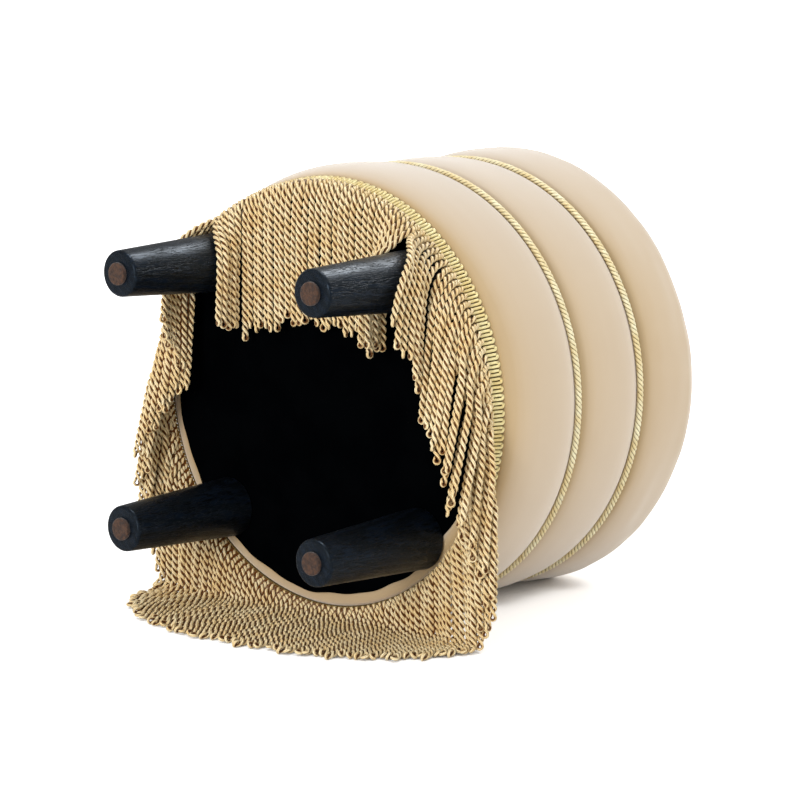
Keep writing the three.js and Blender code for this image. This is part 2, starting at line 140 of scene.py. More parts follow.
def grid_faces(rows, columns, round_rows=True, round_columns=True):
    row, column = np.meshgrid(
        np.arange(rows if round_rows else rows - 1),
        np.arange(columns if round_columns else columns - 1),
        indexing="ij",
    )
    next_row = (row + 1) % rows
    next_column = (column + 1) % columns
    corners = [
        row * columns + column,
        next_row * columns + column,
        next_row * columns + next_column,
        row * columns + next_column,
    ]
    return np.stack(corners, axis=-1).reshape(-1, 4)


def volume_of(mesh):
    mesh.calc_loop_triangles()
    places = np.empty(len(mesh.vertices) * 3)
    mesh.vertices.foreach_get("co", places)
    places = places.reshape(-1, 3)
    corners = np.empty(len(mesh.loop_triangles) * 3, int)
    mesh.loop_triangles.foreach_get("vertices", corners)
    a, b, c = (places[corners.reshape(-1, 3)[:, k]] for k in range(3))
    return float(np.einsum("ij,ij->i", a, np.cross(b, c)).sum() / 6)


def make_mesh(name, points, faces):
    """A mesh of drum coordinates with its faces turned outwards."""
    mesh = bpy.data.meshes.new(name)
    mesh.from_pydata(to_metres(points).reshape(-1, 3).tolist(), [], [list(f) for f in faces])
    mesh.validate()
    if volume_of(mesh) < 0:
        mesh.flip_normals()
    mesh.update()
    return mesh


def finished_piece(mesh, material, slot, *replaced):
    """Puts a mesh in the scene as a piece that rides on the tuffet."""
    piece = in_scene(mesh.name, mesh)
    mesh.materials.append(material)
    mesh.polygons.foreach_set("use_smooth", [True] * len(mesh.polygons))
    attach(piece, BODY)
    if replaced:
        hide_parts(*replaced)
    volume = round(volume_of(mesh) * 1e6, 1)
    print(piece.name, "has", len(mesh.polygons), "faces and", volume, "cm3")
    return piece


# %% [markdown]
# ## Building materials
# Each material is a small network: a Principled BSDF in the material itself, fed by shared groups
# that work out colours and normals. The helpers keep the networks short to write.

# %% Node helpers
FLOAT, COLOUR, VECTOR = "NodeSocketFloat", "NodeSocketColor", "NodeSocketVector"
KIND_OF_SIZE = {1: FLOAT, 3: VECTOR, 4: COLOUR}


def srgb(red, green, blue):
    """A colour given as it looks on screen, 0 to 255, as the linear colour that nodes use."""
    share = np.array([red, green, blue]) / 255
    linear = np.where(share <= 0.04045, share / 12.92, ((share + 0.055) / 1.055) ** 2.4)
    return (*[float(v) for v in linear], 1.0)


def set_inputs(tree, node, inputs):
    """Sets a node's inputs to values, or links other nodes' sockets to them.

    An underscore in an input's name stands for a space.
    """
    for key, value in inputs.items():
        socket = node.inputs[key.replace("_", " ") if isinstance(key, str) else key]
        if isinstance(value, bpy.types.NodeSocket):
            tree.links.new(value, socket)
        else:
            socket.default_value = value


def add_node(tree, kind, inputs=None, **settings):
    """A new node with its settings and inputs."""
    node = tree.nodes.new(kind)
    for key, value in settings.items():
        setattr(node, key, value)
    set_inputs(tree, node, inputs or {})
    return node


def result_of(tree, kind, inputs=None, **settings):
    """The first output of a new node."""
    return add_node(tree, kind, inputs, **settings).outputs[0]


def maths(tree, operation, a, b=0.0, c=0.0):
    """One sum in a network of nodes."""
    return result_of(tree, "ShaderNodeMath", {0: a, 1: b, 2: c}, operation=operation)


def blend_colours(tree, share, first, second, way="MIX"):
    inputs = {0: share, 6: first, 7: second}
    return add_node(tree, "ShaderNodeMix", inputs, data_type="RGBA", blend_type=way).outputs[2]


def ramp(tree, value, start, end, low=0.0, high=1.0, shape="LINEAR"):
    """Spreads what lies between start and end over low to high."""
    inputs = {"Value": value, "From Min": start, "From Max": end, "To Min": low, "To Max": high}
    return result_of(tree, "ShaderNodeMapRange", inputs, interpolation_type=shape)


def noise(tree, place, scale, detail=2.0, roughness=0.5):
    inputs = {"Vector": place, "Scale": scale, "Detail": detail, "Roughness": roughness}
    return add_node(tree, "ShaderNodeTexNoise", inputs).outputs["Fac"]


def bumped(tree, height, depth):
    """The normal of a surface that has a height drawn on it, as deep as depth in metres."""
    return result_of(tree, "ShaderNodeBump", {"Height": height, "Distance": depth})


def own_place(tree):
    """Where a point is on its piece."""
    return add_node(tree, "ShaderNodeTexCoord").outputs["Object"]


def stretched_place(tree, stretch):
    inputs = {0: own_place(tree), 1: stretch}
    return result_of(tree, "ShaderNodeVectorMath", inputs, operation="MULTIPLY")


def along_drum(tree, vector):
    """The part of a place or normal that runs along the drum's axis."""
    return add_node(tree, "ShaderNodeSeparateXYZ", {0: vector}).outputs["Y"]


def new_group(name, inputs, outputs):
    """An empty shader group, the sockets it is given and the node that takes what it makes."""
    group = bpy.data.node_groups.new(name, "ShaderNodeTree")
    for socket_name, value in inputs.items():
        kind = KIND_OF_SIZE[np.size(value)]
        socket = group.interface.new_socket(socket_name, in_out="INPUT", socket_type=kind)
        socket.default_value = value
    for socket_name, kind in outputs.items():
        group.interface.new_socket(socket_name, in_out="OUTPUT", socket_type=kind)
    return group, group.nodes.new("NodeGroupInput").outputs, group.nodes.new("NodeGroupOutput")


def place_group(tree, group, **values):
    """A group placed in a material, with its own values for the group's inputs."""
    return add_node(tree, "ShaderNodeGroup", values, node_tree=group)


def new_material(name, roughness, **settings):
    """A material with a Principled BSDF whose plain values are set on its own sockets."""
    material = bpy.data.materials.new(name)
    material.use_nodes = True
    shader = material.node_tree.nodes["Principled BSDF"]
    set_inputs(material.node_tree, shader, {"Roughness": roughness, **settings})
    return material, material.node_tree, shader


def feed_shader(tree, shader, placed):
    """Links all that a placed group makes to the shader: its colour, normal and roughness."""
    for output in placed.outputs:
        target = "Base Color" if output.name == "Colour" else output.name
        tree.links.new(output, shader.inputs[target])


# %% [markdown]
# ## Shared effects
# Two effects serve several materials. *Mottle* varies a colour in soft patches, as light does on a
# brushed nap, on felt, foam and timber. *Fine bump* adds the small roughness that a surface shows
# close up. Both are groups, so each material places them with its own sizes.

# %% Mottle group
NOISE_LOW, NOISE_HIGH = 0.35, 0.65

mottle, given, made = new_group(
    "mottle",
    {
        "Colour": (0.5, 0.5, 0.5, 1),
        "Patch Colour": (0.4, 0.4, 0.4, 1),
        "Scale": 10.0,
        "Stretch": (1.0, 1.0, 1.0),
        "Amount": 0.5,
    },
    {"Colour": COLOUR},
)
patches = noise(mottle, stretched_place(mottle, given["Stretch"]), given["Scale"], 3.0, 0.55)
patches = ramp(mottle, patches, NOISE_LOW, NOISE_HIGH, shape="SMOOTHSTEP")
patches = maths(mottle, "MULTIPLY", patches, given["Amount"])
mottled = blend_colours(mottle, patches, given["Colour"], given["Patch Colour"])
set_inputs(mottle, made, {"Colour": mottled})
print("group", mottle.name, "with", len(mottle.nodes), "nodes")

# %% Fine bump group
fine_bump, given, made = new_group(
    "fine bump", {"Scale": 800.0, "Depth": 0.0002}, {"Normal": VECTOR}
)
grains = noise(fine_bump, own_place(fine_bump), given["Scale"])
set_inputs(fine_bump, made, {"Normal": bumped(fine_bump, grains, given["Depth"])})
print("group", fine_bump.name, "with", len(fine_bump.nodes), "nodes")

# %% Mottled materials


def mottled_material(name, colours, roughness, scale, amount=0.7, fuzz=None, **settings):
    """A material of two mottled colours. Fuzz is the scale and depth of a fine bump."""
    material, tree, shader = new_material(name, roughness, **settings)
    values = {"Colour": colours[0], "Patch_Colour": colours[1], "Scale": scale, "Amount": amount}
    feed_shader(tree, shader, place_group(tree, mottle, **values))
    if fuzz:
        feed_shader(tree, shader, place_group(tree, fine_bump, Scale=fuzz[0], Depth=fuzz[1]))
    return material


felt = mottled_material(
    "felt", (srgb(74, 46, 27), srgb(32, 18, 12)), 0.95, 350.0, 0.8, (900.0, 0.0005), Sheen_Weight=0.2
)
print("felt is a material of", len(felt.node_tree.nodes), "nodes")

# %% [markdown]
# ## Velvet
# Velvet is a short upright pile. Seen straight on it shows its deep colour, and where it turns away
# the tips of the pile catch the light and it pales. The shader's sheen gives part of that. Layer
# Weight gives the rest as painted sheen: it blends the base colour towards a pale one there. Faint
# patches stand for places where the nap leans another way. Flanks that face the legs get painted
# shade: their colour is blended towards a deeper one.

# %% Velvet material
velvet, tree, shader = new_material(
    "velvet",
    0.85,
    Sheen_Weight=0.5,
    Sheen_Roughness=0.4,
    Sheen_Tint=(1.0, 0.98, 0.97, 1.0),
    Specular_IOR_Level=0.1,
)
velvet_colour = place_group(
    tree,
    mottle,
    Colour=srgb(206, 181, 144),
    Patch_Colour=srgb(201, 175, 138),
    Scale=9.0,
    Stretch=(1.0, 1.0, 1.6),
    Amount=0.45,
).outputs["Colour"]
surface_normal = add_node(tree, "ShaderNodeTexCoord").outputs["Normal"]
# Painted shade: flanks that face the legs are blended towards a deeper colour.
painted_shade_to_legs = ramp(tree, along_drum(tree, surface_normal), -0.15, -1.0)
velvet_colour = blend_colours(tree, painted_shade_to_legs, velvet_colour, srgb(172, 146, 106))
# Painted sheen: Layer Weight blends the base colour towards a pale one where the surface turns away.
turned_away = add_node(tree, "ShaderNodeLayerWeight", {"Blend": 0.5}).outputs["Facing"]
painted_sheen_share = ramp(tree, turned_away, 0.16, 0.85, high=0.9)
velvet_colour = blend_colours(tree, painted_sheen_share, velvet_colour, srgb(232, 219, 203))
set_inputs(tree, shader, {"Base Color": velvet_colour})
fuzz = place_group(tree, fine_bump, Scale=1500.0, Depth=0.00012)
feed_shader(tree, shader, fuzz)
print("velvet's sheen", shader.inputs["Sheen Weight"].default_value)

# %% [markdown]
# ## The three rolls
# The drum is upholstered in three rolls, each a band of velvet pulled over foam and stitched down
# into a seam. In section a roll is a flat-topped arch: full in the middle and steep at the seams. A
# superellipse draws that arch. Its outline is turned round the drum, and where the tuffet rests on
# the floor the padding is pressed flat. Turning an outline was chosen over modelling by hand
# because upholsterers cut a roll as one strip, so it is the same all the way round.

# %% Sizes of the rolls
LOWER_WIDEST_AT = 62.0
LOWER_SEAM_AT = 117.5
UPPER_SEAM_AT = 213.1
SEAT_WIDEST_AT = 278.6
CROWN_AT = 338.5
MIDDLE_RADIUS = 212.4
LOWER_RADIUS = MIDDLE_RADIUS + 1.1
SEAT_RADIUS = MIDDLE_RADIUS + 3.5
SEAM_RADIUS = MIDDLE_RADIUS - 9.0
SEAM_LAND = 3.9
BAND_RADIUS = SEAM_RADIUS - 2.8
BAND_AT = 14.5
HEM_CORNER_RADIUS = SEAM_RADIUS - 7.4
HEM_CORNER_AT = 2.0
HEM_OUTER_RADIUS = SEAM_RADIUS - 10.9
HEM_INNER_RADIUS = SEAM_RADIUS - 22.4
COVER_THICKNESS = 2.0
PRESSED_THICKNESS = 1.0
FULLNESS = 2.3
ROUND_STEPS = 288
ARCH_STEPS = 20
CROWN_STEPS = 40
ROUNDING_SHARE = 0.4
ROUNDING_STEPS = 5

# %% Outlines of the rolls


def swell(share):
    return (1 - np.clip(share, 0, 1) ** FULLNESS) ** (1 / FULLNESS)


def flank(edge_radius, edge_at, widest_radius, widest_at):
    """One side of a roll's arch, from its edge up to just before its widest place."""
    share = np.cos(np.linspace(0, math.pi / 2, ARCH_STEPS, endpoint=False))
    radius = edge_radius + (widest_radius - edge_radius) * swell(share)
    return np.stack([radius, widest_at + (edge_at - widest_at) * share], axis=1)


def arch(from_edge, to_edge, widest):
    rising = flank(*from_edge, *widest)
    falling = flank(*to_edge, *widest)[::-1]
    return np.concatenate([rising, [widest], falling])


def rounded(corner_points):
    """Softens an open outline's inner corners with small curves."""
    points = [corner_points[0]]
    for before, corner, after in zip(corner_points, corner_points[1:], corner_points[2:]):
        start = corner + (before - corner) * ROUNDING_SHARE
        end = corner + (after - corner) * ROUNDING_SHARE
        for t in np.linspace(0, 1, ROUNDING_STEPS):
            points.append((1 - t) ** 2 * start + 2 * t * (1 - t) * corner + t * t * end)
    points.append(corner_points[-1])
    return np.array(points)


def lower_outline(inset):
    edge, band_end = SEAM_RADIUS - inset, (BAND_RADIUS - inset, BAND_AT)
    hem_corners = [
        (HEM_INNER_RADIUS, inset),
        (HEM_OUTER_RADIUS - inset / 2, inset),
        (HEM_CORNER_RADIUS - inset, HEM_CORNER_AT + inset / 2),
        band_end,
    ]
    widest = (LOWER_RADIUS - inset, LOWER_WIDEST_AT)
    rolled = arch(band_end, (edge, LOWER_SEAM_AT - SEAM_LAND), widest)
    hem = rounded(np.array(hem_corners))
    return np.concatenate([hem, rolled[1:], [[edge, LOWER_SEAM_AT - GAP / 2]]])


def middle_outline(inset):
    edge = SEAM_RADIUS - inset
    widest = (MIDDLE_RADIUS - inset, (LOWER_SEAM_AT + UPPER_SEAM_AT) / 2)
    rolled = arch((edge, LOWER_SEAM_AT + SEAM_LAND), (edge, UPPER_SEAM_AT - SEAM_LAND), widest)
    ends = [[edge, LOWER_SEAM_AT + GAP / 2]], [[edge, UPPER_SEAM_AT - GAP / 2]]
    return np.concatenate([ends[0], rolled, ends[1]])


def seat_outline(inset):
    edge = SEAM_RADIUS - inset
    widest = SEAT_RADIUS - inset
    side = flank(edge, UPPER_SEAM_AT + SEAM_LAND, widest, SEAT_WIDEST_AT)
    turn = np.linspace(0, math.pi / 2, CROWN_STEPS)
    rise = CROWN_AT - SEAT_WIDEST_AT - inset
    crown = np.stack([widest * np.cos(turn), SEAT_WIDEST_AT + rise * np.sin(turn)], axis=1)
    return np.concatenate([[[edge, UPPER_SEAM_AT + GAP / 2]], side, crown])


rolls = {
    "lower": (lower_outline, [0, 4, 7, 11, BAND_AT, LOWER_SEAM_AT - 2]),
    "middle": (middle_outline, [LOWER_SEAM_AT + 2, UPPER_SEAM_AT - 2]),
    "seat": (seat_outline, [UPPER_SEAM_AT + 2]),
}
for name, (outline, sewn_at) in rolls.items():
    print("roll", name, "is drawn with", len(outline(0)), "points, and sewn near", sewn_at)

# %% [markdown]
# ## Filling the rolls
# The velvet is filled by a short cloth simulation. The skin is held along its seams and blown up
# from inside, a little more in some places than in others, the way hand-stuffed foam lies. Each
# ring's mean size was measured off the photograph, so that mean is kept and only the unevenness
# that the simulation adds stays, without its finest wrinkles and never more than a millimetre. On
# the two lower rolls, whose seams are close together, that is too little to see.

# %% Fill the rolls
PUFF_FRAMES = 20
PUFF_LIMIT = 1.0
FILL_WAVES = 0.2
FILL_TOP = 1.5
SMOOTHED_STEPS = 7
CALM_RADIUS = 100.0
SEWN_WITHIN = 2.0
CLOTH_SETTINGS = {
    "quality": 5,
    "mass": 0.004,
    "tension_stiffness": 15,
    "compression_stiffness": 15,
    "shear_stiffness": 5,
    "bending_stiffness": 0.5,
    "vertex_group_mass": "pins",
    "use_pressure": True,
    "uniform_pressure_force": 4,
    "vertex_group_pressure": "fill",
}


def uneven_fill(turn, along):
    """How hard the filling presses at each place, from about 0.6 to 1.4."""
    waves = np.sin(5 * turn + 0.4 + along / 40) + np.sin(11 * turn - along / 25 + 2.0)
    return 1 + FILL_WAVES * waves


def evaluated(holder):
    return holder.evaluated_get(bpy.context.evaluated_depsgraph_get())


def blown_up(skin, pinned):
    """Where the simulation leaves the skin's points. Pinned tells how firmly columns are held."""
    rows, columns = skin.shape[:2]
    mesh = make_mesh("skin", skin, grid_faces(rows, columns, round_columns=False))
    holder = in_scene("skin", mesh)
    index = np.arange(rows * columns).reshape(rows, columns)
    pin_group = holder.vertex_groups.new(name="pins")
    fill_group = holder.vertex_groups.new(name="fill")
    for column in range(columns):
        pin_group.add(index[:, column].tolist(), float(pinned[column]), "REPLACE")
    fill = uneven_fill(np.arctan2(skin[..., 2], skin[..., 0]), skin[..., 1])
    for place, weight in enumerate(np.clip(fill / FILL_TOP, 0, 1).ravel().tolist()):
        fill_group.add([place], weight, "REPLACE")
    cloth = holder.modifiers.new("filling", "CLOTH")
    for key, value in CLOTH_SETTINGS.items():
        setattr(cloth.settings, key, value)
    cloth.settings.effector_weights.gravity = 0
    cloth.collision_settings.use_collision = False
    cloth.point_cache.frame_start, cloth.point_cache.frame_end = 1, PUFF_FRAMES
    for moment in range(1, PUFF_FRAMES + 1):
        bpy.context.scene.frame_set(moment)
    places = np.empty(rows * columns * 3)
    evaluated(holder).data.vertices.foreach_get("co", places)
    bpy.context.scene.frame_set(1)
    bpy.data.objects.remove(holder)
    bpy.data.meshes.remove(mesh)
    return places.reshape(rows, columns, 3) * 1000 - (0.0, UNDERSIDE_Y, AXIS_HEIGHT)


def puffed(skin, pinned):
    """The skin with the unevenness that the simulation gives it."""
    out = round_drum(1.0, 0.0, np.arctan2(skin[..., 2], skin[..., 0]))
    swelling = ((blown_up(skin, pinned) - skin) * out).sum(axis=2)
    uneven = swelling - swelling.mean(axis=0)
    print("swelling of", round(float(swelling.mean()), 2), "mm, up to", round(float(swelling.max()), 2))
    print("unevenness of", round(float(uneven.std()), 3), "mm")
    shifts = range(-SMOOTHED_STEPS, SMOOTHED_STEPS + 1)
    uneven = sum(np.roll(uneven, shift, axis=0) for shift in shifts) / len(shifts)
    uneven = PUFF_LIMIT * np.tanh(uneven / PUFF_LIMIT)
    uneven *= np.clip(np.hypot(skin[..., 0], skin[..., 2]) / CALM_RADIUS, 0, 1)
    return skin + uneven[..., None] * out


def held_columns(outline, places):
    """Which columns of an outline are sewn down: those close to the given places."""
    along = outline(0.0)[:, 1]
    return (np.abs(along[:, None] - np.array(places)).min(axis=1) < SEWN_WITHIN).astype(float)


for name, (outline, sewn_at) in rolls.items():
    print("roll", name, "is held at", int(held_columns(outline, sewn_at).sum()), "points")

# %% [markdown]
# The seat's outline ends on the axis, where a turned grid would pinch all its points together. Its
# last ring is closed with one many-sided face instead, small enough to be flat.

# %% Turn the rolls
CAP_RADIUS = 2.0


def turned_cover(outline, sewn_at):
    """A cover as a closed shell: the outer skin, then the lining back to where it started."""
    outer, inner = outline(0.0), outline(COVER_THICKNESS)
    reaches_axis = outer[-1, 0] < CAP_RADIUS
    if reaches_axis:
        outer[-1, 0] = inner[-1, 0] = CAP_RADIUS
    turn = full_turn(ROUND_STEPS) - math.pi / 2
    skins = []
    for profile, lift in ((outer, 0.0), (inner, PRESSED_THICKNESS)):
        skin = turned(profile, turn)
        if profile is outer:
            skin = puffed(skin, held_columns(outline, sewn_at))
        skin[..., 2] = np.maximum(skin[..., 2], lift - AXIS_HEIGHT)
        skins.append(skin)
    ring = np.concatenate([skins[1][:, ::-1], skins[0]], axis=1)
    columns = ring.shape[1]
    faces = grid_faces(ROUND_STEPS, columns, round_columns=not reaches_axis).tolist()
    if reaches_axis:
        row = np.arange(ROUND_STEPS) * columns
        faces += [(row + columns - 1).tolist(), row.tolist()[::-1]]
    return ring.reshape(-1, 3), faces


for name, (outline, sewn_at) in rolls.items():
    cover_mesh = make_mesh("velvet_roll_" + name, *turned_cover(outline, sewn_at))
    cover = finished_piece(cover_mesh, velvet, "velvet", "cover_" + name)

# %% [markdown]
# ## Yarn
# Rope and fringe are twisted from the same shiny gold yarn. Close up, a yarn is a bundle of fine
# threads that wind round it. Its colour has a painted highlight on its crown, and painted shade
# between the threads and in the grooves where two yarns meet. Each tube carries two attributes for
# this. Girth tells where on its girth a point is and how far along the yarn, and lift how far out
# of the twist. The group turns them into threads, painted groove shade and a patchy colour. Where
# the fringe is worked into its heading, the yarn is yellower and its painted shade lighter.

# %% Yarn group
# The crown colour is a painted highlight and the groove colour painted shade.
yarn_group, given, made = new_group(
    "twisted yarn",
    {
        "Painted Highlight": srgb(232, 208, 152),
        "Body": srgb(205, 180, 128),
        "Groove": srgb(96, 72, 38),
        "Threads": 4.0,
        "Thread Turns": 140.0,
        "Thread Depth": 0.0003,
        "Thread Shade": 0.45,
        "Groove From": 0.0,
        "Groove To": 1.0,
    },
    {"Colour": COLOUR, "Normal": VECTOR},
)
yarn_sum = partial(maths, yarn_group)
girth = add_node(yarn_group, "ShaderNodeAttribute", attribute_name="girth").outputs["Vector"]
lift = add_node(yarn_group, "ShaderNodeAttribute", attribute_name="lift").outputs["Fac"]
girth = add_node(yarn_group, "ShaderNodeSeparateXYZ", {0: girth}).outputs
winding = yarn_sum("MULTIPLY", yarn_sum("ARCTAN2", girth["Y"], girth["X"]), given["Threads"])
running = yarn_sum("MULTIPLY", girth["Z"], given["Thread Turns"])
running = yarn_sum("MULTIPLY", running, 2 * math.pi)
thread = yarn_sum("SINE", yarn_sum("ADD", winding, running))
thread = yarn_sum("MULTIPLY_ADD", thread, 0.5, 0.5)
# Painted shade between the threads, as deep as Thread Shade.
painted_thread_shade = yarn_sum("MULTIPLY", yarn_sum("SUBTRACT", 1.0, thread), given["Thread Shade"])
on_thread = yarn_sum("SUBTRACT", 1.0, painted_thread_shade)
# Painted shade in the grooves: where the lift is low, the colour goes to the groove colour.
height = ramp(yarn_group, lift, given["Groove From"], given["Groove To"], shape="SMOOTHSTEP")
share_out_of_painted_shade = yarn_sum("MULTIPLY", height, on_thread)
# Painted highlight: the crests of the outermost threads take the pale crown colour.
painted_crest_highlight = yarn_sum("POWER", on_thread, 2.0)
painted_highlight_share = yarn_sum("MULTIPLY", yarn_sum("POWER", height, 1.2), painted_crest_highlight)
shaded = blend_colours(yarn_group, share_out_of_painted_shade, given["Groove"], given["Body"])
shaded = blend_colours(yarn_group, painted_highlight_share, shaded, given["Painted Highlight"])
patches = ramp(yarn_group, noise(yarn_group, own_place(yarn_group), 60.0), NOISE_LOW, NOISE_HIGH)
patches = blend_colours(yarn_group, patches, (0.9, 0.8, 0.64, 1), (1, 1, 1, 1))
shaded = blend_colours(yarn_group, 1.0, shaded, patches, "MULTIPLY")
thread_bump = bumped(yarn_group, thread, given["Thread Depth"])
set_inputs(yarn_group, made, {"Colour": shaded, "Normal": thread_bump})
print("group", yarn_group.name, "with", len(yarn_group.nodes), "nodes")

HEADING_EDGE = (-0.0955, -0.0925)
# How deep the painted shade between threads is, on the loose cords and in the heading.
LOOSE_SHADE = 0.45
HEADING_SHADE = 0.1


def yarn_material(name, colours, heading_colours=None, **values):
    """Yarn with colours for a painted crown highlight, body and painted groove shade; maybe others in
    the heading.
    """
    material, tree, shader = new_material(
        name,
        0.36,
        Specular_IOR_Level=0.5,
        Specular_Tint=(1.0, 0.78, 0.48, 1.0),
        Sheen_Weight=0.2,
        Sheen_Roughness=0.5,
        Sheen_Tint=(1.0, 0.82, 0.55, 1.0),
    )
    # In the heading the colours are yellower, and the painted shade lighter, between threads and in
    # grooves.
    if heading_colours:
        in_heading = ramp(tree, along_drum(tree, own_place(tree)), *HEADING_EDGE)
        colours = [blend_colours(tree, in_heading, *pair) for pair in zip(colours, heading_colours)]
        change = HEADING_SHADE - LOOSE_SHADE
        values["Thread_Shade"] = maths(tree, "MULTIPLY_ADD", in_heading, change, LOOSE_SHADE)
    values.update(zip(("Painted Highlight", "Body", "Groove"), colours))
    feed_shader(tree, shader, place_group(tree, yarn_group, **values))
    return material


# %% [markdown]
# ## Tubes along paths
# Both trims are tubes along many paths, which is what Geometry Nodes do well. The paths go in as a
# mesh of edges that carries its attributes: the yarn's thickness at each point and the nearest
# point of the twist's own middle line. The tree makes curves of the edges, sweeps a small circle
# along them and stores the girth and lift that the yarn material reads.

# %% Tube tree
TUBE_SIDES = 6


def tube_tree():
    tree = bpy.data.node_groups.new("tubes along paths", "GeometryNodeTree")
    for way in ("INPUT", "OUTPUT"):
        tree.interface.new_socket("Geometry", in_out=way, socket_type="NodeSocketGeometry")

    def read(name, kind="FLOAT"):
        return result_of(tree, "GeometryNodeInputNamedAttribute", {"Name": name}, data_type=kind)

    def store(geometry, name, value, kind="FLOAT_VECTOR"):
        inputs = {"Geometry": geometry, "Name": name, "Value": value}
        return result_of(tree, "GeometryNodeStoreNamedAttribute", inputs, data_type=kind)

    entered = result_of(tree, "NodeGroupInput")
    paths = result_of(tree, "GeometryNodeMeshToCurve", {0: entered})
    place = result_of(tree, "GeometryNodeInputPosition")
    ring = {"Resolution": TUBE_SIDES, "Radius": 1.0}
    circle = store(result_of(tree, "GeometryNodeCurvePrimitiveCircle", ring), "girth_place", place)
    sweep = {"Curve": paths, "Profile Curve": circle, "Fill Caps": True, "Scale": read("thickness")}
    tubes = result_of(tree, "GeometryNodeCurveToMesh", sweep)
    parts = add_node(tree, "ShaderNodeSeparateXYZ", {0: read("girth_place", "FLOAT_VECTOR")}).outputs
    girth = result_of(tree, "ShaderNodeCombineXYZ", {0: parts[0], 1: parts[1], 2: read("length")})
    tubes = store(tubes, "girth", girth)
    between = {0: place, 1: read("middle", "FLOAT_VECTOR")}
    away = add_node(tree, "ShaderNodeVectorMath", between, operation="DISTANCE").outputs["Value"]
    # Cores get no lift, so they take the painted groove shade.
    lifted = maths(tree, "MULTIPLY", away, read("shown"))
    add_node(tree, "NodeGroupOutput", {0: store(tubes, "lift", lifted, "FLOAT")})
    return tree


def tube_mesh(name, paths):
    """One mesh of tubes. A path is (points, thicknesses, middles, lengths, closed), in mm.

    An open path is a core: its lift is nothing, so it takes the dark groove colour, painted shade.
    """
    edges, start = [], 0
    for path in paths:
        index = np.arange(start, start + len(path[0]))
        pairs = np.stack([index, np.roll(index, -1)], axis=1)
        edges.append(pairs if path[4] else pairs[:-1])
        start += len(path[0])
    joined = [np.concatenate([path[k] for path in paths]) for k in range(4)]
    points, thickness, middles, lengths = joined
    shown = np.concatenate([np.full(len(path[0]), float(path[4])) for path in paths])
    mesh = bpy.data.meshes.new(name + "_paths")
    mesh.from_pydata(to_metres(points).tolist(), np.concatenate(edges).tolist(), [])
    for key, kind, field, values in (
        ("thickness", "FLOAT", "value", thickness / 1000),
        ("middle", "FLOAT_VECTOR", "vector", to_metres(middles)),
        ("length", "FLOAT", "value", lengths / 1000),
        ("shown", "FLOAT", "value", shown),
    ):
        attribute = mesh.attributes.new(key, kind, "POINT")
        attribute.data.foreach_set(field, np.asarray(values, np.float32).ravel())
    holder = in_scene(name + "_paths", mesh)
    tree = tube_tree()
    holder.modifiers.new("tubes", "NODES").node_group = tree
    result = bpy.data.meshes.new_from_object(evaluated(holder))
    result.name = name
    bpy.data.objects.remove(holder)
    bpy.data.meshes.remove(mesh)
    bpy.data.node_groups.remove(tree)
    if volume_of(result) < 0:
        result.flip_normals()
    return result


# %% [markdown]
# ## Rope in the seams
# A rope trim is laid into each of the two seams. It is three yarns round a core, twisted the way the
# middle stroke of an S leans. Three helices wound on the seam's ring make it, with a plain core so
# that no light shows through. The core takes the yarn's dark groove colour, as painted shade. It
# lies a little nearer the legs and further out than the seam, so that it covers the crease between
# the rolls.

# %% Rope trims
ROPE_RADIUS = 3.3
ROPE_OUT = 1.2
ROPE_TO_LEGS = 1.5
ROPE_CIRCLE = SEAM_RADIUS + GAP + ROPE_RADIUS + ROPE_OUT
ROPE_CLEARANCE = 0.2
ROPE_YARNS = 3
ROPE_TURNS = 92
ROPE_YARN_RADIUS = 1.6
ROPE_CORE_RADIUS = 1.1
ROPE_STEPS = 948
CORE_EVERY = 4

# The pale crown colour is a painted highlight, the dark groove colour painted shade.
rope_yarn = yarn_material(
    "rope yarn",
    (srgb(255, 250, 216), srgb(255, 238, 182), srgb(60, 42, 12)),
    Threads=9.0,
    Thread_Turns=300.0,
    Thread_Depth=0.0001,
    Thread_Shade=0.1,
    Groove_From=0.0021,
    Groove_To=0.0029,
)


def rope_paths(seam_at):
    turn = full_turn(ROPE_STEPS)
    middle = round_drum(ROPE_CIRCLE, seam_at - ROPE_TO_LEGS, turn)
    middle[:, 2] = np.maximum(middle[:, 2], ROPE_RADIUS + ROPE_CLEARANCE - AXIS_HEIGHT)
    outward = round_drum(1.0, 0.0, turn)
    along_axis = np.array([0.0, 1.0, 0.0])
    reach = ROPE_RADIUS - ROPE_YARN_RADIUS
    length = turn * ROPE_CIRCLE
    paths = []
    for yarn in range(ROPE_YARNS):
        twist = (turn * ROPE_TURNS + 2 * math.pi * yarn / ROPE_YARNS)[:, None]
        points = middle + reach * (np.cos(twist) * along_axis + np.sin(twist) * outward)
        paths.append((points, np.full(ROPE_STEPS, ROPE_YARN_RADIUS), middle, length, True))
    # The core lies inside the groove range, so it takes the painted groove shade.
    core = middle[::CORE_EVERY]
    paths.append((core, np.full(len(core), ROPE_CORE_RADIUS), core, length[::CORE_EVERY], True))
    return paths


for name, seam_at in (("lower", LOWER_SEAM_AT), ("upper", UPPER_SEAM_AT)):
    rope_mesh = tube_mesh("rope_" + name, rope_paths(seam_at))
    finished_piece(rope_mesh, rope_yarn, "gold_yarn", "rope_trim_" + name)

# %% [markdown]
# ## How the fringe hangs
# A bullion fringe is a row of soft twisted cords sewn into a braid. The tuffet lies on its side, so
# the cords that start at the top run out along the legs' direction and drop, those at the sides
# fall in a pile, and those below spread over the floor. Each cord's middle line follows a rule: it
# leaves the braid level, bends down under its weight, slides off the legs and lies on the floor.
# Then crowded cords push each other apart over a few passes. The construction model's plain cords
# follow the same rule, apart from those on the left, which stand in three depths only here.

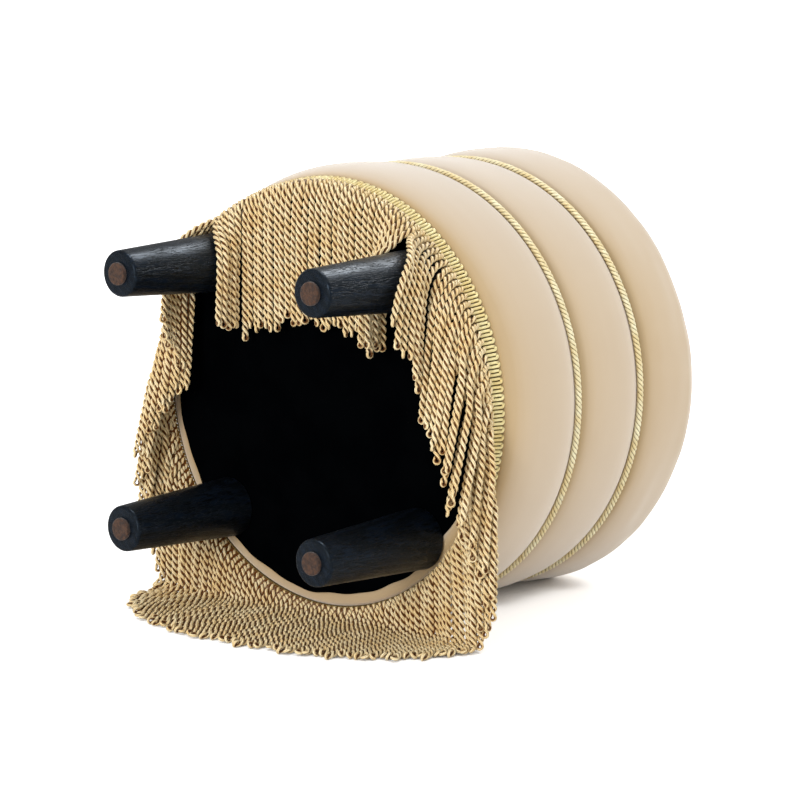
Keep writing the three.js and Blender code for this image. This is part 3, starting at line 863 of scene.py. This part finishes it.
# %% Sizes of the fringe
STRANDS = 174
STRAND_LENGTH = 134.0
STRAND_RADIUS = 3.3
STRAND_SPACING = 6.0
HEADING_THICKNESS = 3.4
STRAND_START_OUT = 1.8
STRAND_START_RADIUS = HEM_CORNER_RADIUS + GAP + HEADING_THICKNESS / 2 + STRAND_START_OUT
STRAND_START_AT = HEM_CORNER_AT - GAP
LEG_INSET = 29.123
LEG_HALF_SPACING = (HEM_CORNER_RADIUS - LEG_INSET) * math.sqrt(0.5)
LEG_LENGTH = 143.4
LEG_TOP_RADIUS = 28.5
LEG_FOOT_RADIUS = 21.5
LEG_TOP_AT = -1.6
FOOT_AT = LEG_TOP_AT - LEG_LENGTH
FLOOR_CLEARANCE = 0.4
STRAND_FLOOR = STRAND_RADIUS + FLOOR_CLEARANCE - AXIS_HEIGHT
STEPS = 40
EASING_PASSES = 24
LEG_CLEARANCE = 1.0
LENGTH_SPREAD = 12.0
BEND_SHARE = 1.2092
SETTLING_HEIGHT = 9.0
FANNING_HEIGHT = 30.0
SHIFT_FROM, SHIFT_OVER = 0.08, 0.45

# %% Where each cord is led


def vary(strand, kind):
    value = np.sin(strand * 12.9898 + kind * 78.233) * 43758.5453
    return value - np.floor(value) - 0.5


def smooth(share):
    t = np.clip(share, 0, 1)
    return t * t * (3 - 2 * t)


def bump(value, middle, spread):
    """1 at the middle, and falling to nothing over about twice the spread."""
    return np.exp(-(((value - middle) / spread) ** 2))


def strand_manners():
    """Start, length, stand-out, sideways shift, floor spread and lean of every cord.

    Climb is how many degrees a cord starts above the axis. Most terms swell round one climb.
    """
    k = np.arange(STRANDS)
    turn = (k + 0.5) * 2 * math.pi / STRANDS
    start = round_drum(STRAND_START_RADIUS, STRAND_START_AT, turn)
    side = np.sign(start[:, 0])
    climb = np.degrees(np.arcsin(np.sin(turn)))
    column = (k % 3) - 1
    right = side > 0
    low = np.where(right, smooth((14 - climb) / 30), smooth(-climb / 30))
    length = STRAND_LENGTH + LENGTH_SPREAD * vary(k, 1)
    pair = np.where(k % 2 == 0, -1, 1)
    out = 17 - 7 * bump(climb, 5, 22) + np.where(right, 12 * bump(climb, 36, 9), 0)
    spill = 0.3 * bump(climb, 16, 24) * np.where(right, 1 - 0.9 * low, 1)
    shift = side * 5.5 * column * bump(climb, 8, 26) + 2 * vary(k, 3) + 0.8 * pair
    fan = np.full(STRANDS, 0.22)
    shift += np.where(right, 9 * low * bump(climb, -14, 22), -9 * low * bump(climb, -22, 24))
    out = np.where(right, out + (9 - out) * low, out)
    layer = np.array([3.5, 8.0, 14.0])[k % 3]
    out = np.where(right, out, out + (layer - out) * bump(climb, 6, 26))
    fan += np.where(right, 0, 0.26 * bump(climb, -38, 22))
    across = np.abs(start[:, 0]) - LEG_HALF_SPACING
    reach = LEG_TOP_RADIUS + STRAND_RADIUS + LEG_CLEARANCE
    over_leg = (start[:, 2] > 0) & (np.abs(across) < reach)
    spill = np.where(over_leg, 0, spill)
    # For each side of each leg: the least run along it, how much more, and how much shorter.
    runs = {(1, 1): (38, 58, 10), (1, 0): (18, 28, 0), (-1, 1): (26, 40, 0), (-1, 0): (20, 36, 4)}
    for (run_side, outer), (first, more, shorter) in runs.items():
        here = over_leg & (side == run_side) & ((across > 0) == bool(outer))
        out = np.where(here, first + more * (1 - np.abs(across) / reach), out)
        length = np.where(here, length - shorter, length)
        fall = LEG_HALF_SPACING + np.sign(across) * reach
        stray = np.sign(across) * 2 * vary(k, 3)
        shift = np.where(here, side * (fall + stray) - start[:, 0], shift)
    out = out + STRAND_RADIUS * vary(k, 2)
    fan = fan * start[:, 0] / LEG_HALF_SPACING + 0.03 * vary(k, 4)
    return start, length, out, shift, fan, spill


def off_legs(points):
    """Moves points that a leg would hold to its surface."""
    share = np.clip(-points[..., 1], 0, None) / LEG_LENGTH
    clear = LEG_TOP_RADIUS + (LEG_FOOT_RADIUS - LEG_TOP_RADIUS) * share
    clear += STRAND_RADIUS + LEG_CLEARANCE
    leg_x = np.sign(points[..., 0]) * LEG_HALF_SPACING
    leg_z = np.sign(points[..., 2]) * LEG_HALF_SPACING
    dx, dz = points[..., 0] - leg_x, points[..., 2] - leg_z
    distance = np.maximum(np.hypot(dx, dz), 1e-9)
    held = (distance < clear) & (points[..., 1] >= FOOT_AT)
    points[..., 0] = np.where(held, leg_x + dx * clear / distance, points[..., 0])
    points[..., 2] = np.where(held, leg_z + dz * clear / distance, points[..., 2])


def strand_routes():
    start, length, out, shift, fan_share, spill = strand_manners()
    step = length / STEPS
    bend = out / BEND_SHARE
    point = start.copy()
    route = [point.copy()]
    for k in range(STEPS):
        along = (k + 0.5) * step
        level = spill + (1 - spill) / (1 + (along / bend) ** 3)
        height = point[:, 2] - STRAND_FLOOR
        falling = np.sqrt(1 - level * level) * np.clip(height / SETTLING_HEIGHT, 0, 1)
        running = np.sqrt(1 - falling * falling)
        fan = fan_share * (1 - np.clip(height / FANNING_HEIGHT, 0, 1))
        heading = np.hypot(fan, 1)
        before, after = (
            shift * smooth((at / length - SHIFT_FROM) / SHIFT_OVER) for at in (along - step, along)
        )
        point[:, 0] += running * fan * step / heading + after - before
        point[:, 1] -= running * step / heading
        point[:, 2] -= falling * step
        off_legs(point)
        point[:, 2] = np.maximum(point[:, 2], STRAND_FLOOR)
        route.append(point.copy())
    return np.stack(route, axis=1), step


routes, steps = strand_routes()
print("cords led:", len(routes), "of", round(float((steps * STEPS).mean()), 1), "mm")

# %% Ease crowded cords apart


def parting_pushes(routes, neighbours=26):
    """For each point, the mean push away from points of nearby cords that are too close."""
    total = np.zeros_like(routes)
    count = np.zeros(routes.shape[:2])
    inner = routes[:, 2:]
    for k in range(1, neighbours + 1):
        other = np.roll(inner, -k, axis=0)
        between = other[:, None, :, :] - inner[:, :, None, :]
        distance = np.sqrt((between**2).sum(axis=-1))
        close = (distance < STRAND_SPACING) & (distance > 0)
        share = np.where(close, (STRAND_SPACING - distance) / np.maximum(distance, 1e-9) / 2, 0)
        push = between * share[..., None]
        total[:, 2:] -= push.sum(axis=2)
        total[:, 2:] += np.roll(push.sum(axis=1), k, axis=0)
        count[:, 2:] += close.sum(axis=2) + np.roll(close.sum(axis=1), k, axis=0)
    return total / np.maximum(count, 1)[..., None]


def settle(routes, pushes, steps):
    """Moves the cords by their smoothed pushes and keeps their lengths and what they lie on."""
    after = np.concatenate([pushes[:, 1:], pushes[:, -1:]], axis=1)
    eased = (2 * pushes[:, 1:] + pushes[:, :-1] + after[:, 1:]) / 4
    hold = smooth(np.arange(1, STEPS + 1) / 6)
    routes[:, 1:] += eased * hold[None, :, None]
    for k in range(1, STEPS + 1):
        along = routes[:, k] - routes[:, k - 1]
        along /= np.linalg.norm(along, axis=1, keepdims=True)
        point = routes[:, k - 1] + along * steps[:, None]
        off_legs(point)
        point[:, 2] = np.maximum(point[:, 2], STRAND_FLOOR)
        if k > 1:
            point[:, 1] = np.minimum(point[:, 1], -STRAND_RADIUS - FLOOR_CLEARANCE)
        routes[:, k] = point


for _ in range(EASING_PASSES):
    settle(routes, parting_pushes(routes), steps)
print("lowest cord point", round(float(routes[..., 2].min() + AXIS_HEIGHT), 2), "mm above the floor")

# %% [markdown]
# ## One loop of yarn for each cord
# On the real fringe each cord is one yarn. It comes out of the braid as a rib, runs down, turns
# round at the tip and winds back up round itself, and ends as the next rib, where a small loop
# joins the two at the braid's edge. Because the yarn is a closed loop it is made as one closed
# path, and the tip keeps its little open eye.

# %% Path of a yarn loop
PLY_RADIUS = 1.47
PLY_REACH = 1.85
PLY_PITCH = 13.6
TIP_RADIUS = 2.5
RIB_RADIUS = 1.4
RIB_HALF_SPACING = 1.81
RIB_LIFT = 2.3
RIB_STEPS = 5
RIB_FOOT = 1.2
RIB_MIDDLE_DEPTH = 2.7
LOOP_DIP = 0.4
EYE_DEPTH_SHARE = 0.6
EYE_PLY_RADIUS = PLY_RADIUS * 0.95
PER_TURN = 11
THREAD_SLIP = 37.0
CORE_RADIUS = 1.3
CORE_SWELL, LEFT_CORE_SWELL = 0.5, 1.5
CORE_SWELL_LENGTH = 13.0
CORE_STEPS = 34
CORE_LENGTH = 125

band_low = np.array([HEM_CORNER_RADIUS, HEM_CORNER_AT])
band_high = np.array([BAND_RADIUS, BAND_AT])
band_up = (band_high - band_low) / np.linalg.norm(band_high - band_low)
band_out = np.array([band_up[1], -band_up[0]])
band_width = float(np.linalg.norm(band_high - band_low))


def on_band(up, out, turn):
    """Drum coordinates of a place on the braid: how far up it, how far out of it, which turn."""
    place = band_low + np.multiply.outer(up, band_up) + np.multiply.outer(out, band_out)
    return round_drum(place[..., 0], place[..., 1], turn)


def smooth_route(route, count):
    """The route's points joined by Catmull-Rom curves and spaced evenly along them."""
    padded = np.concatenate([[2 * route[0] - route[1]], route, [2 * route[-1] - route[-2]]])
    t = np.linspace(0, len(route) - 1, count)
    i = np.minimum(t.astype(int), len(route) - 2)
    f = (t - i)[:, None]
    a, b, c, d = (padded[i + k] for k in range(4))
    bent = (2 * a - 5 * b + 4 * c - d) * f**2 + (3 * b - a - 3 * c + d) * f**3
    return 0.5 * (2 * b + (c - a) * f + bent)


def carried_frame(middle, first):
    """Two directions across the path, carried along it without spinning."""
    along = np.gradient(middle, axis=0)
    along /= np.linalg.norm(along, axis=1, keepdims=True)
    across = np.empty_like(middle)
    across[0] = first
    for k in range(1, len(middle)):
        across[k] = across[k - 1]
        across[k] -= along[k] * (across[k] @ along[k])
        across[k] /= np.linalg.norm(across[k])
    return along, across, np.cross(along, across)


def yarn_loop(strand):
    route = routes[strand % STRANDS]
    turn = (strand + 0.5) * 2 * math.pi / STRANDS
    rib_turn = RIB_HALF_SPACING / STRAND_START_RADIUS
    eye_radius = TIP_RADIUS * (1 + 0.4 * vary(strand, 8))
    length = float(steps[strand % STRANDS] * STEPS) - PLY_REACH - eye_radius
    strand = strand % STRANDS
    count = int(length / PLY_PITCH * PER_TURN)
    middle = smooth_route(route, count + 1)
    tangent_round = np.array([-math.sin(turn), 0.0, math.cos(turn)])
    along, across, third = carried_frame(middle, tangent_round)
    s = np.linspace(0, length, count + 1)
    pitch = PLY_PITCH * (1 + 0.12 * vary(strand, 6))
    slip = 2 * math.pi * (0.4 + vary(strand, 7)) * smooth(s / 11)
    twist = -2 * math.pi * s / pitch - slip
    reach = RIB_HALF_SPACING + (PLY_REACH - RIB_HALF_SPACING) * smooth(s / 6)
    offset = reach[:, None] * (np.cos(twist)[:, None] * across + np.sin(twist)[:, None] * third)
    down, up = middle + offset, middle - offset
    end_side = offset[-1] / np.linalg.norm(offset[-1])
    sweep = math.pi - math.asin(PLY_REACH / eye_radius)
    eye = middle[-1] + along[-1] * math.sqrt(eye_radius**2 - PLY_REACH**2)
    angle = np.linspace(sweep, -sweep, 9)[1:-1]
    angle = angle[:, None]
    tip = eye + eye_radius * (np.cos(angle) * along[-1] + np.sin(angle) * end_side)
    rib_up = np.linspace(band_width - RIB_HALF_SPACING, RIB_FOOT, RIB_STEPS)
    rib_lift = np.full(RIB_STEPS, RIB_LIFT)
    rib_a = on_band(rib_up, rib_lift, turn + rib_turn)
    rib_b = on_band(rib_up[::-1], rib_lift, turn - rib_turn)
    over = np.linspace(0, math.pi, 6)[1:-1]
    loop_up = band_width - RIB_HALF_SPACING + RIB_HALF_SPACING * np.sin(over)
    loop = on_band(loop_up, RIB_LIFT - LOOP_DIP * np.sin(over), turn - rib_turn * np.cos(over))
    points = np.concatenate([rib_a, down[1:], tip, up[:0:-1], rib_b, loop])
    points[:, 2] = np.maximum(points[:, 2], PLY_RADIUS + FLOOR_CLEARANCE / 2 - AXIS_HEIGHT)
    # The ribs' middles lie deep under the braid, so only their deepest parts get the painted groove
    # shade.
    under = -RIB_MIDDLE_DEPTH * round_drum(1.0, 0.0, turn)
    eye_middle = tip + (eye - tip) * EYE_DEPTH_SHARE
    turned_back = [middle[:0:-1], rib_b + under, loop + under]
    middles = np.concatenate([rib_a + under, middle[1:], eye_middle, *turned_back])
    runs = ((rib_a, RIB_RADIUS), (down[1:], PLY_RADIUS), (tip, EYE_PLY_RADIUS), (up[1:], PLY_RADIUS))
    runs += ((rib_b, RIB_RADIUS), (loop, RIB_RADIUS))
    thickness = np.concatenate([np.full(len(run), radius) for run, radius in runs])
    gaps = np.linalg.norm(np.diff(points, axis=0), axis=1)
    lengths = np.concatenate([[0], np.cumsum(gaps)]) + THREAD_SLIP * vary(strand, 5)
    return points, thickness, middles, lengths, True


def core_path(strand, beside=0.0):
    """A dark core inside a cord, or a dark filler in the gap beside it as painted shade, so no light
    shows through.
    """
    route = (1 - beside) * routes[strand % STRANDS] + beside * routes[(strand + 1) % STRANDS]
    middle = smooth_route(route, CORE_STEPS)[:-3]
    s = np.linspace(0, CORE_LENGTH, len(middle))
    # Near the braid the dark core swells, more on the low left, to fill the gaps between cord starts
    # with painted shade.
    on_left = route[0, 0] < 0 and route[0, 2] < 0.7 * STRAND_START_RADIUS
    swell_by = LEFT_CORE_SWELL if on_left else CORE_SWELL
    thickness = CORE_RADIUS + swell_by * (1 - smooth(s / CORE_SWELL_LENGTH))
    return middle, thickness, middle + 0.0, s, False


example = yarn_loop(0)
print("one yarn loop:", len(example[0]), "points and", round(float(np.ptp(example[3]))), "mm")

# %% The fringe in four slices
# The pale crown colours are painted highlight and the dark groove colours painted shade; the heading
# has lighter shade.
fringe_yarn = yarn_material(
    "fringe yarn",
    (srgb(255, 244, 206), srgb(255, 214, 142), srgb(96, 50, 5)),
    (srgb(255, 244, 188), srgb(255, 233, 150), srgb(140, 104, 34)),
    Groove_From=0.0016,
    Groove_To=0.0027,
)
for i, name in enumerate(("right", "top", "left", "bottom")):
    slice_of_ring = range(round((i - 0.5) * STRANDS / 4), round((i + 0.5) * STRANDS / 4))
    paths = [yarn_loop(strand) for strand in slice_of_ring]
    paths += [core_path(strand) for strand in slice_of_ring]
    # On the left and at the bottom, dark fillers lie in the gaps between cords as painted shade.
    if name in ("left", "bottom"):
        paths += [core_path(strand, 0.5) for strand in slice_of_ring]
    fringe_mesh = tube_mesh("bullion_" + name, paths)
    finished_piece(fringe_mesh, fringe_yarn, "gold_yarn", "fringe_" + name)

# %% [markdown]
# ## The braid's backing
# Behind the ribs lies a narrow woven tape that the yarn is sewn to. Only slivers of it show between
# the ribs, where little light reaches, and its gold colour is darkened all over as painted shade.

# %% Backing tape
TAPE_STEPS = 400
TAPE_INNER, TAPE_OUTER = 0.3, 1.1
TAPE_LOW, TAPE_HIGH = 0.2, 0.6

tape_profile = np.array(
    [
        band_low + band_out * TAPE_INNER + band_up * TAPE_LOW,
        band_low + band_out * TAPE_OUTER + band_up * TAPE_LOW,
        band_high + band_out * TAPE_OUTER - band_up * TAPE_HIGH,
        band_high + band_out * TAPE_INNER - band_up * TAPE_HIGH,
    ]
)
tape_points = turned(tape_profile, full_turn(TAPE_STEPS))
tape_mesh = make_mesh("braid_tape", tape_points, grid_faces(TAPE_STEPS, len(tape_profile)))
# The tape's gold is darkened as painted shade.
tape_cloth = mottled_material("backing tape", (srgb(104, 84, 40), srgb(70, 54, 24)), 0.8, 400.0)
finished_piece(tape_mesh, tape_cloth, "gold_yarn")

# %% [markdown]
# ## Stained wood
# The legs are turned ash, stained black. Ash is open-grained: long pores stay as fine grooves under
# the stain, and broad growth rings show as a slow change in gloss. One group draws both along the
# wood's length, and it also serves the plain timber inside, with other colours.

# %% Wood group
wood_group, given, made = new_group(
    "wood grain",
    {
        "Early Wood": srgb(15, 23, 34),
        "Late Wood": srgb(8, 13, 19),
        "Pore": srgb(3, 4, 6),
        "Along": (1.0, 0.08, 1.0),
        "Ring Scale": 60.0,
        "Pore Scale": 900.0,
        "Pore Depth": 0.0005,
    },
    {"Colour": COLOUR, "Normal": VECTOR, "Roughness": FLOAT},
)
grain_place = stretched_place(wood_group, given["Along"])
bands = {"Distortion": 6.0, "Detail": 3.0, "Detail Scale": 1.5}
bands.update(Vector=grain_place, Scale=given["Ring Scale"])
way = {"wave_type": "BANDS", "bands_direction": "DIAGONAL"}
rings = add_node(wood_group, "ShaderNodeTexWave", bands, **way).outputs["Fac"]
pores = noise(wood_group, grain_place, given["Pore Scale"], 2.0, 0.6)
pores = ramp(wood_group, pores, 0.42, 0.5, shape="SMOOTHSTEP")
ring_colour = blend_colours(wood_group, rings, given["Early Wood"], given["Late Wood"])
wood_look = {
    "Colour": blend_colours(wood_group, pores, given["Pore"], ring_colour),
    "Normal": bumped(wood_group, pores, given["Pore Depth"]),
    "Roughness": maths(wood_group, "MULTIPLY_ADD", rings, 0.1, 0.32),
}
set_inputs(wood_group, made, wood_look)


def wood_material(name, **values):
    tint = (0.62, 0.8, 1.0, 1.0)
    material, tree, shader = new_material(name, 0.4, Specular_IOR_Level=0.24, Specular_Tint=tint)
    feed_shader(tree, shader, place_group(tree, wood_group, **values))
    return material


stained_ash = wood_material("stained ash")
print("group", wood_group.name, "with", len(wood_group.nodes), "nodes")

# %% [markdown]
# ## Legs and pads
# A leg is a plain tapered turning with a softened edge at the foot, and a disc of felt is glued to
# its end. The construction model's legs have flat facets and sharp corners, so finer turnings
# stand in for them. They keep its lengths, radii and places. The pads are a little smaller than
# the construction model's.

# %% Turn the legs
LEG_SIDES = 96
PAD_SIDES = 48
EDGE = 3.0
TOP_EDGE = 1.0
PAD_EDGE = 1.0
PAD_INNER_EDGE = 0.4
END_RADIUS = 10.0
PAD_END_RADIUS = 6.0
PAD_RADIUS = 10.4
PAD_THICKNESS = 3.5
PAD_AT = FOOT_AT - GAP - PAD_THICKNESS


def closed_grid(points, first_end, last_end):
    """Points and faces of a turned grid whose open ends are closed round a middle point."""
    sides, columns = points.shape[:2]
    faces = grid_faces(sides, columns, round_columns=False).tolist()
    first, last = sides * columns, sides * columns + 1
    for row in range(sides):
        after = (row + 1) % sides
        faces.append([first, after * columns, row * columns])
        faces.append([last, row * columns + columns - 1, after * columns + columns - 1])
    return np.concatenate([points.reshape(-1, 3), [first_end, last_end]]), faces


def turning(profile, place_x, place_z, sides):
    """A closed turning on an axis along Y from an outline that starts and ends on the axis."""
    profile = np.asarray(profile, float)
    points = turned(profile[1:-1], full_turn(sides)) + (place_x, 0.0, place_z)
    ends = [[place_x, profile[0, 1], place_z], [place_x, profile[-1, 1], place_z]]
    return closed_grid(points, *ends)


def rounded_edge(radius, at, outward, size, steps=6):
    """Points of a quarter round at the rim of a face that looks along outward, -1 or 1."""
    angle = np.linspace(0, math.pi / 2, steps)
    radii = radius - size + size * np.sin(angle)
    return list(zip(radii, at - outward * size * (1 - np.cos(angle))))


def leg_outline():
    foot = rounded_edge(LEG_FOOT_RADIUS, FOOT_AT, -1, EDGE)
    top = rounded_edge(LEG_TOP_RADIUS, LEG_TOP_AT, 1, TOP_EDGE)[::-1]
    ends = [(END_RADIUS, LEG_TOP_AT), (0, LEG_TOP_AT)]
    return [(0, FOOT_AT), (END_RADIUS, FOOT_AT), *foot, *top, *ends]


def pad_outline():
    outer = rounded_edge(PAD_RADIUS, PAD_AT, -1, PAD_EDGE)
    inner = rounded_edge(PAD_RADIUS, PAD_AT + PAD_THICKNESS, 1, PAD_INNER_EDGE)[::-1]
    return [(0, PAD_AT), (PAD_END_RADIUS, PAD_AT), *outer, *inner, (0, PAD_AT + PAD_THICKNESS)]


for across in (-1, 1):
    for up in (-1, 1):
        corner = ("upper_" if up > 0 else "lower_") + ("right" if across > 0 else "left")
        place = across * LEG_HALF_SPACING, up * LEG_HALF_SPACING
        leg_mesh = make_mesh("turned_leg_" + corner, *turning(leg_outline(), *place, LEG_SIDES))
        finished_piece(leg_mesh, stained_ash, "stained_ash", "leg_" + corner)
        pad_mesh = make_mesh("felt_pad_" + corner, *turning(pad_outline(), *place, PAD_SIDES))
        finished_piece(pad_mesh, felt, "felt", "foot_pad_" + corner)

# %% [markdown]
# ## The dust cover
# A black cambric disc is stapled over the underside. It is a sheet stretched flat. Its edge is
# folded under by hand and wanders a little.

# %% Dust cover
DUST_RADIUS = HEM_OUTER_RADIUS - 7.0
DUST_THICKNESS = 1.0
DUST_STEPS = 256
DUST_RING_SHARES = np.array([0.25, 0.5, 0.75, 0.95, 0.985, 1.0])
DUST_SOFT_SHARES = np.array([0, 0, 0, 0, 0.1, 0.35])

cambric = mottled_material(
    "cambric",
    ((0.0008, 0.001, 0.0013, 1), (0.0003, 0.0004, 0.0006, 1)),
    0.95,
    25.0,
    0.6,
    (1200.0, 0.0001),
    Specular_IOR_Level=0.0,
)


def dust_disc():
    turn = full_turn(DUST_STEPS)
    edge = DUST_RADIUS - 0.9 * np.sin(9 * turn + 1.3) - 0.7 * np.sin(16 * turn + 0.4)
    edge -= 0.5 * np.sin(29 * turn + 2.0)
    radius = edge[:, None] * DUST_RING_SHARES
    near, far = -GAP - DUST_THICKNESS, -GAP
    below = round_drum(radius, near + DUST_SOFT_SHARES * DUST_THICKNESS, turn[:, None])
    above = round_drum(radius, far, turn[:, None])
    sides = np.concatenate([below, above[:, ::-1]], axis=1)
    return closed_grid(sides, (0, near, 0), (0, far, 0))


dust_mesh = make_mesh("cambric_dust_cover", *dust_disc())
dust = finished_piece(dust_mesh, cambric, "cambric", "dust_cover")

# %% [markdown]
# ## What is inside
# The frame, foam and fixings are hidden under the covers, but they are real pieces and each gets
# its finish: open foam, chipped board, pine posts, card and zinc.

# %% Materials of the hidden pieces


def plain_material(name, colour, patch, roughness, scale, depth, metallic=0.0):
    colours, fuzz = (srgb(*colour), srgb(*patch)), (scale * 3, depth)
    return mottled_material(name, colours, roughness, scale, fuzz=fuzz, Metallic=metallic)


foam_finish = plain_material("foam", (232, 222, 184), (214, 202, 160), 0.95, 300.0, 0.0006)
chipboard = plain_material("chipboard", (190, 160, 116), (150, 120, 80), 0.8, 220.0, 0.0003)
card = plain_material("card", (176, 150, 112), (160, 134, 98), 0.85, 90.0, 0.0001)
zinc = plain_material("zinc", (168, 170, 172), (140, 143, 148), 0.35, 120.0, 0.00005, 1.0)
pine = wood_material(
    "pine",
    Early_Wood=srgb(214, 180, 128),
    Late_Wood=srgb(190, 150, 98),
    Pore=srgb(160, 122, 76),
    Ring_Scale=30.0,
)
finishes = {
    "foam": foam_finish,
    "base_board": chipboard,
    "seat_board": chipboard,
    "drum_wrap": card,
    "post": pine,
    "hanger_bolt": zinc,
    "tee_nut": zinc,
}
for node_name, node in frame["nodes"].items():
    for start, material in finishes.items():
        if node_name.startswith(start):
            if not node.material_slots:
                node.data.materials.append(material)
            node.material_slots[0].material = material
print("finished nodes:", sum(any(n.startswith(s) for s in finishes) for n in frame["nodes"]))

# %% [markdown]
# ## Floor and light
# A pale floor and a few large soft lamps give the plain daylight of a catalogue picture. The floor
# keeps the tuffet's shadow. A little light that only the camera sees lifts the empty floor to
# white, so no extra light falls on the velvet. It fades close under the tuffet, and where ambient
# occlusion finds the floor hemmed in it goes, which paints shade there. In reflections the world
# is less than half as bright, so that the black legs stay black, and two of the lamps show only
# there, as the streaks on the legs and the yarn's shine.

# %% Floor and backdrop
FLOOR_SIZE = 40.0
WHITE_FROM, WHITE_BY = 0.35, 1.1
NEAR_GLOW = 0.58
HEMMED_IN_DISTANCE = 0.03
AMBIENT = 0.9
REFLECTED = 0.4

floor_mesh = bpy.data.meshes.new("floor")
floor_corners = [(x * FLOOR_SIZE, y * FLOOR_SIZE, 0) for x, y in ((-1, -1), (1, -1), (1, 1), (-1, 1))]
floor_mesh.from_pydata(floor_corners, [], [(0, 1, 2, 3)])
floor = in_scene("floor", floor_mesh)
floor_material, tree, shader = new_material(
    "pale floor", 1.0, Base_Color=(0.86, 0.86, 0.86, 1), Specular_IOR_Level=0.0
)
away = add_node(tree, "ShaderNodeVectorMath", {0: own_place(tree)}, operation="LENGTH")
away = away.outputs["Value"]
far_white = ramp(tree, away, WHITE_FROM, WHITE_BY, NEAR_GLOW, 1.0, shape="SMOOTHSTEP")
around = {"Distance": HEMMED_IN_DISTANCE}
# Painted shade: the glow is taken away where ambient occlusion finds the floor hemmed in, under the
# fringe.
floor_open = add_node(tree, "ShaderNodeAmbientOcclusion", around, samples=4).outputs["AO"]
floor_open = ramp(tree, floor_open, 0.15, 0.6, shape="SMOOTHSTEP")
far_white = maths(tree, "MULTIPLY", far_white, floor_open)
to_camera = add_node(tree, "ShaderNodeLightPath").outputs["Is Camera Ray"]
glow = maths(tree, "MULTIPLY", to_camera, far_white)
set_inputs(tree, shader, {"Emission Color": (1, 1, 1, 1), "Emission Strength": glow})
floor_mesh.materials.append(floor_material)

world = bpy.data.worlds.new("studio")
bpy.context.scene.world = world
world.use_nodes = True
tree = world.node_tree
rays = add_node(tree, "ShaderNodeLightPath").outputs
seen = maths(tree, "MAXIMUM", rays["Is Camera Ray"], rays["Is Transmission Ray"])
glossy = rays["Is Glossy Ray"]
lighting = maths(tree, "MULTIPLY_ADD", glossy, REFLECTED - AMBIENT, AMBIENT)
strength = maths(tree, "MAXIMUM", seen, lighting)
world_look = {"Color": (1, 1, 1, 1), "Strength": strength}
set_inputs(tree, tree.nodes["Background"], world_look)

# %% Lamps
LAMP_TARGET = (0, 0, 0.2)

for name, place, size, power, only_reflected in (
    ("gloss behind", (0.1, 1.35, 2.1), 1.2, 48, True),
    ("gloss above", (0.05, -0.35, 2.4), 0.8, 45, True),
    ("front", (0.45, -3.0, 0.7), 0.9, 42, False),
    ("far side", (0.9, 3.0, 0.9), 0.9, 22, False),
):
    lamp_data = bpy.data.lights.new(name, "AREA")
    lamp_data.shape = "DISK"
    lamp_data.size = size
    lamp_data.energy = power
    lamp = in_scene(name, lamp_data)
    lamp.visible_diffuse = not only_reflected
    aim(lamp, place, LAMP_TARGET)
print("lamps", [light.name for light in bpy.data.lights])

# %% [markdown]
# ## Finish
# The view transform is Standard, so colours show as written.

# %% Finish
bpy.context.scene.view_settings.view_transform = "Standard"
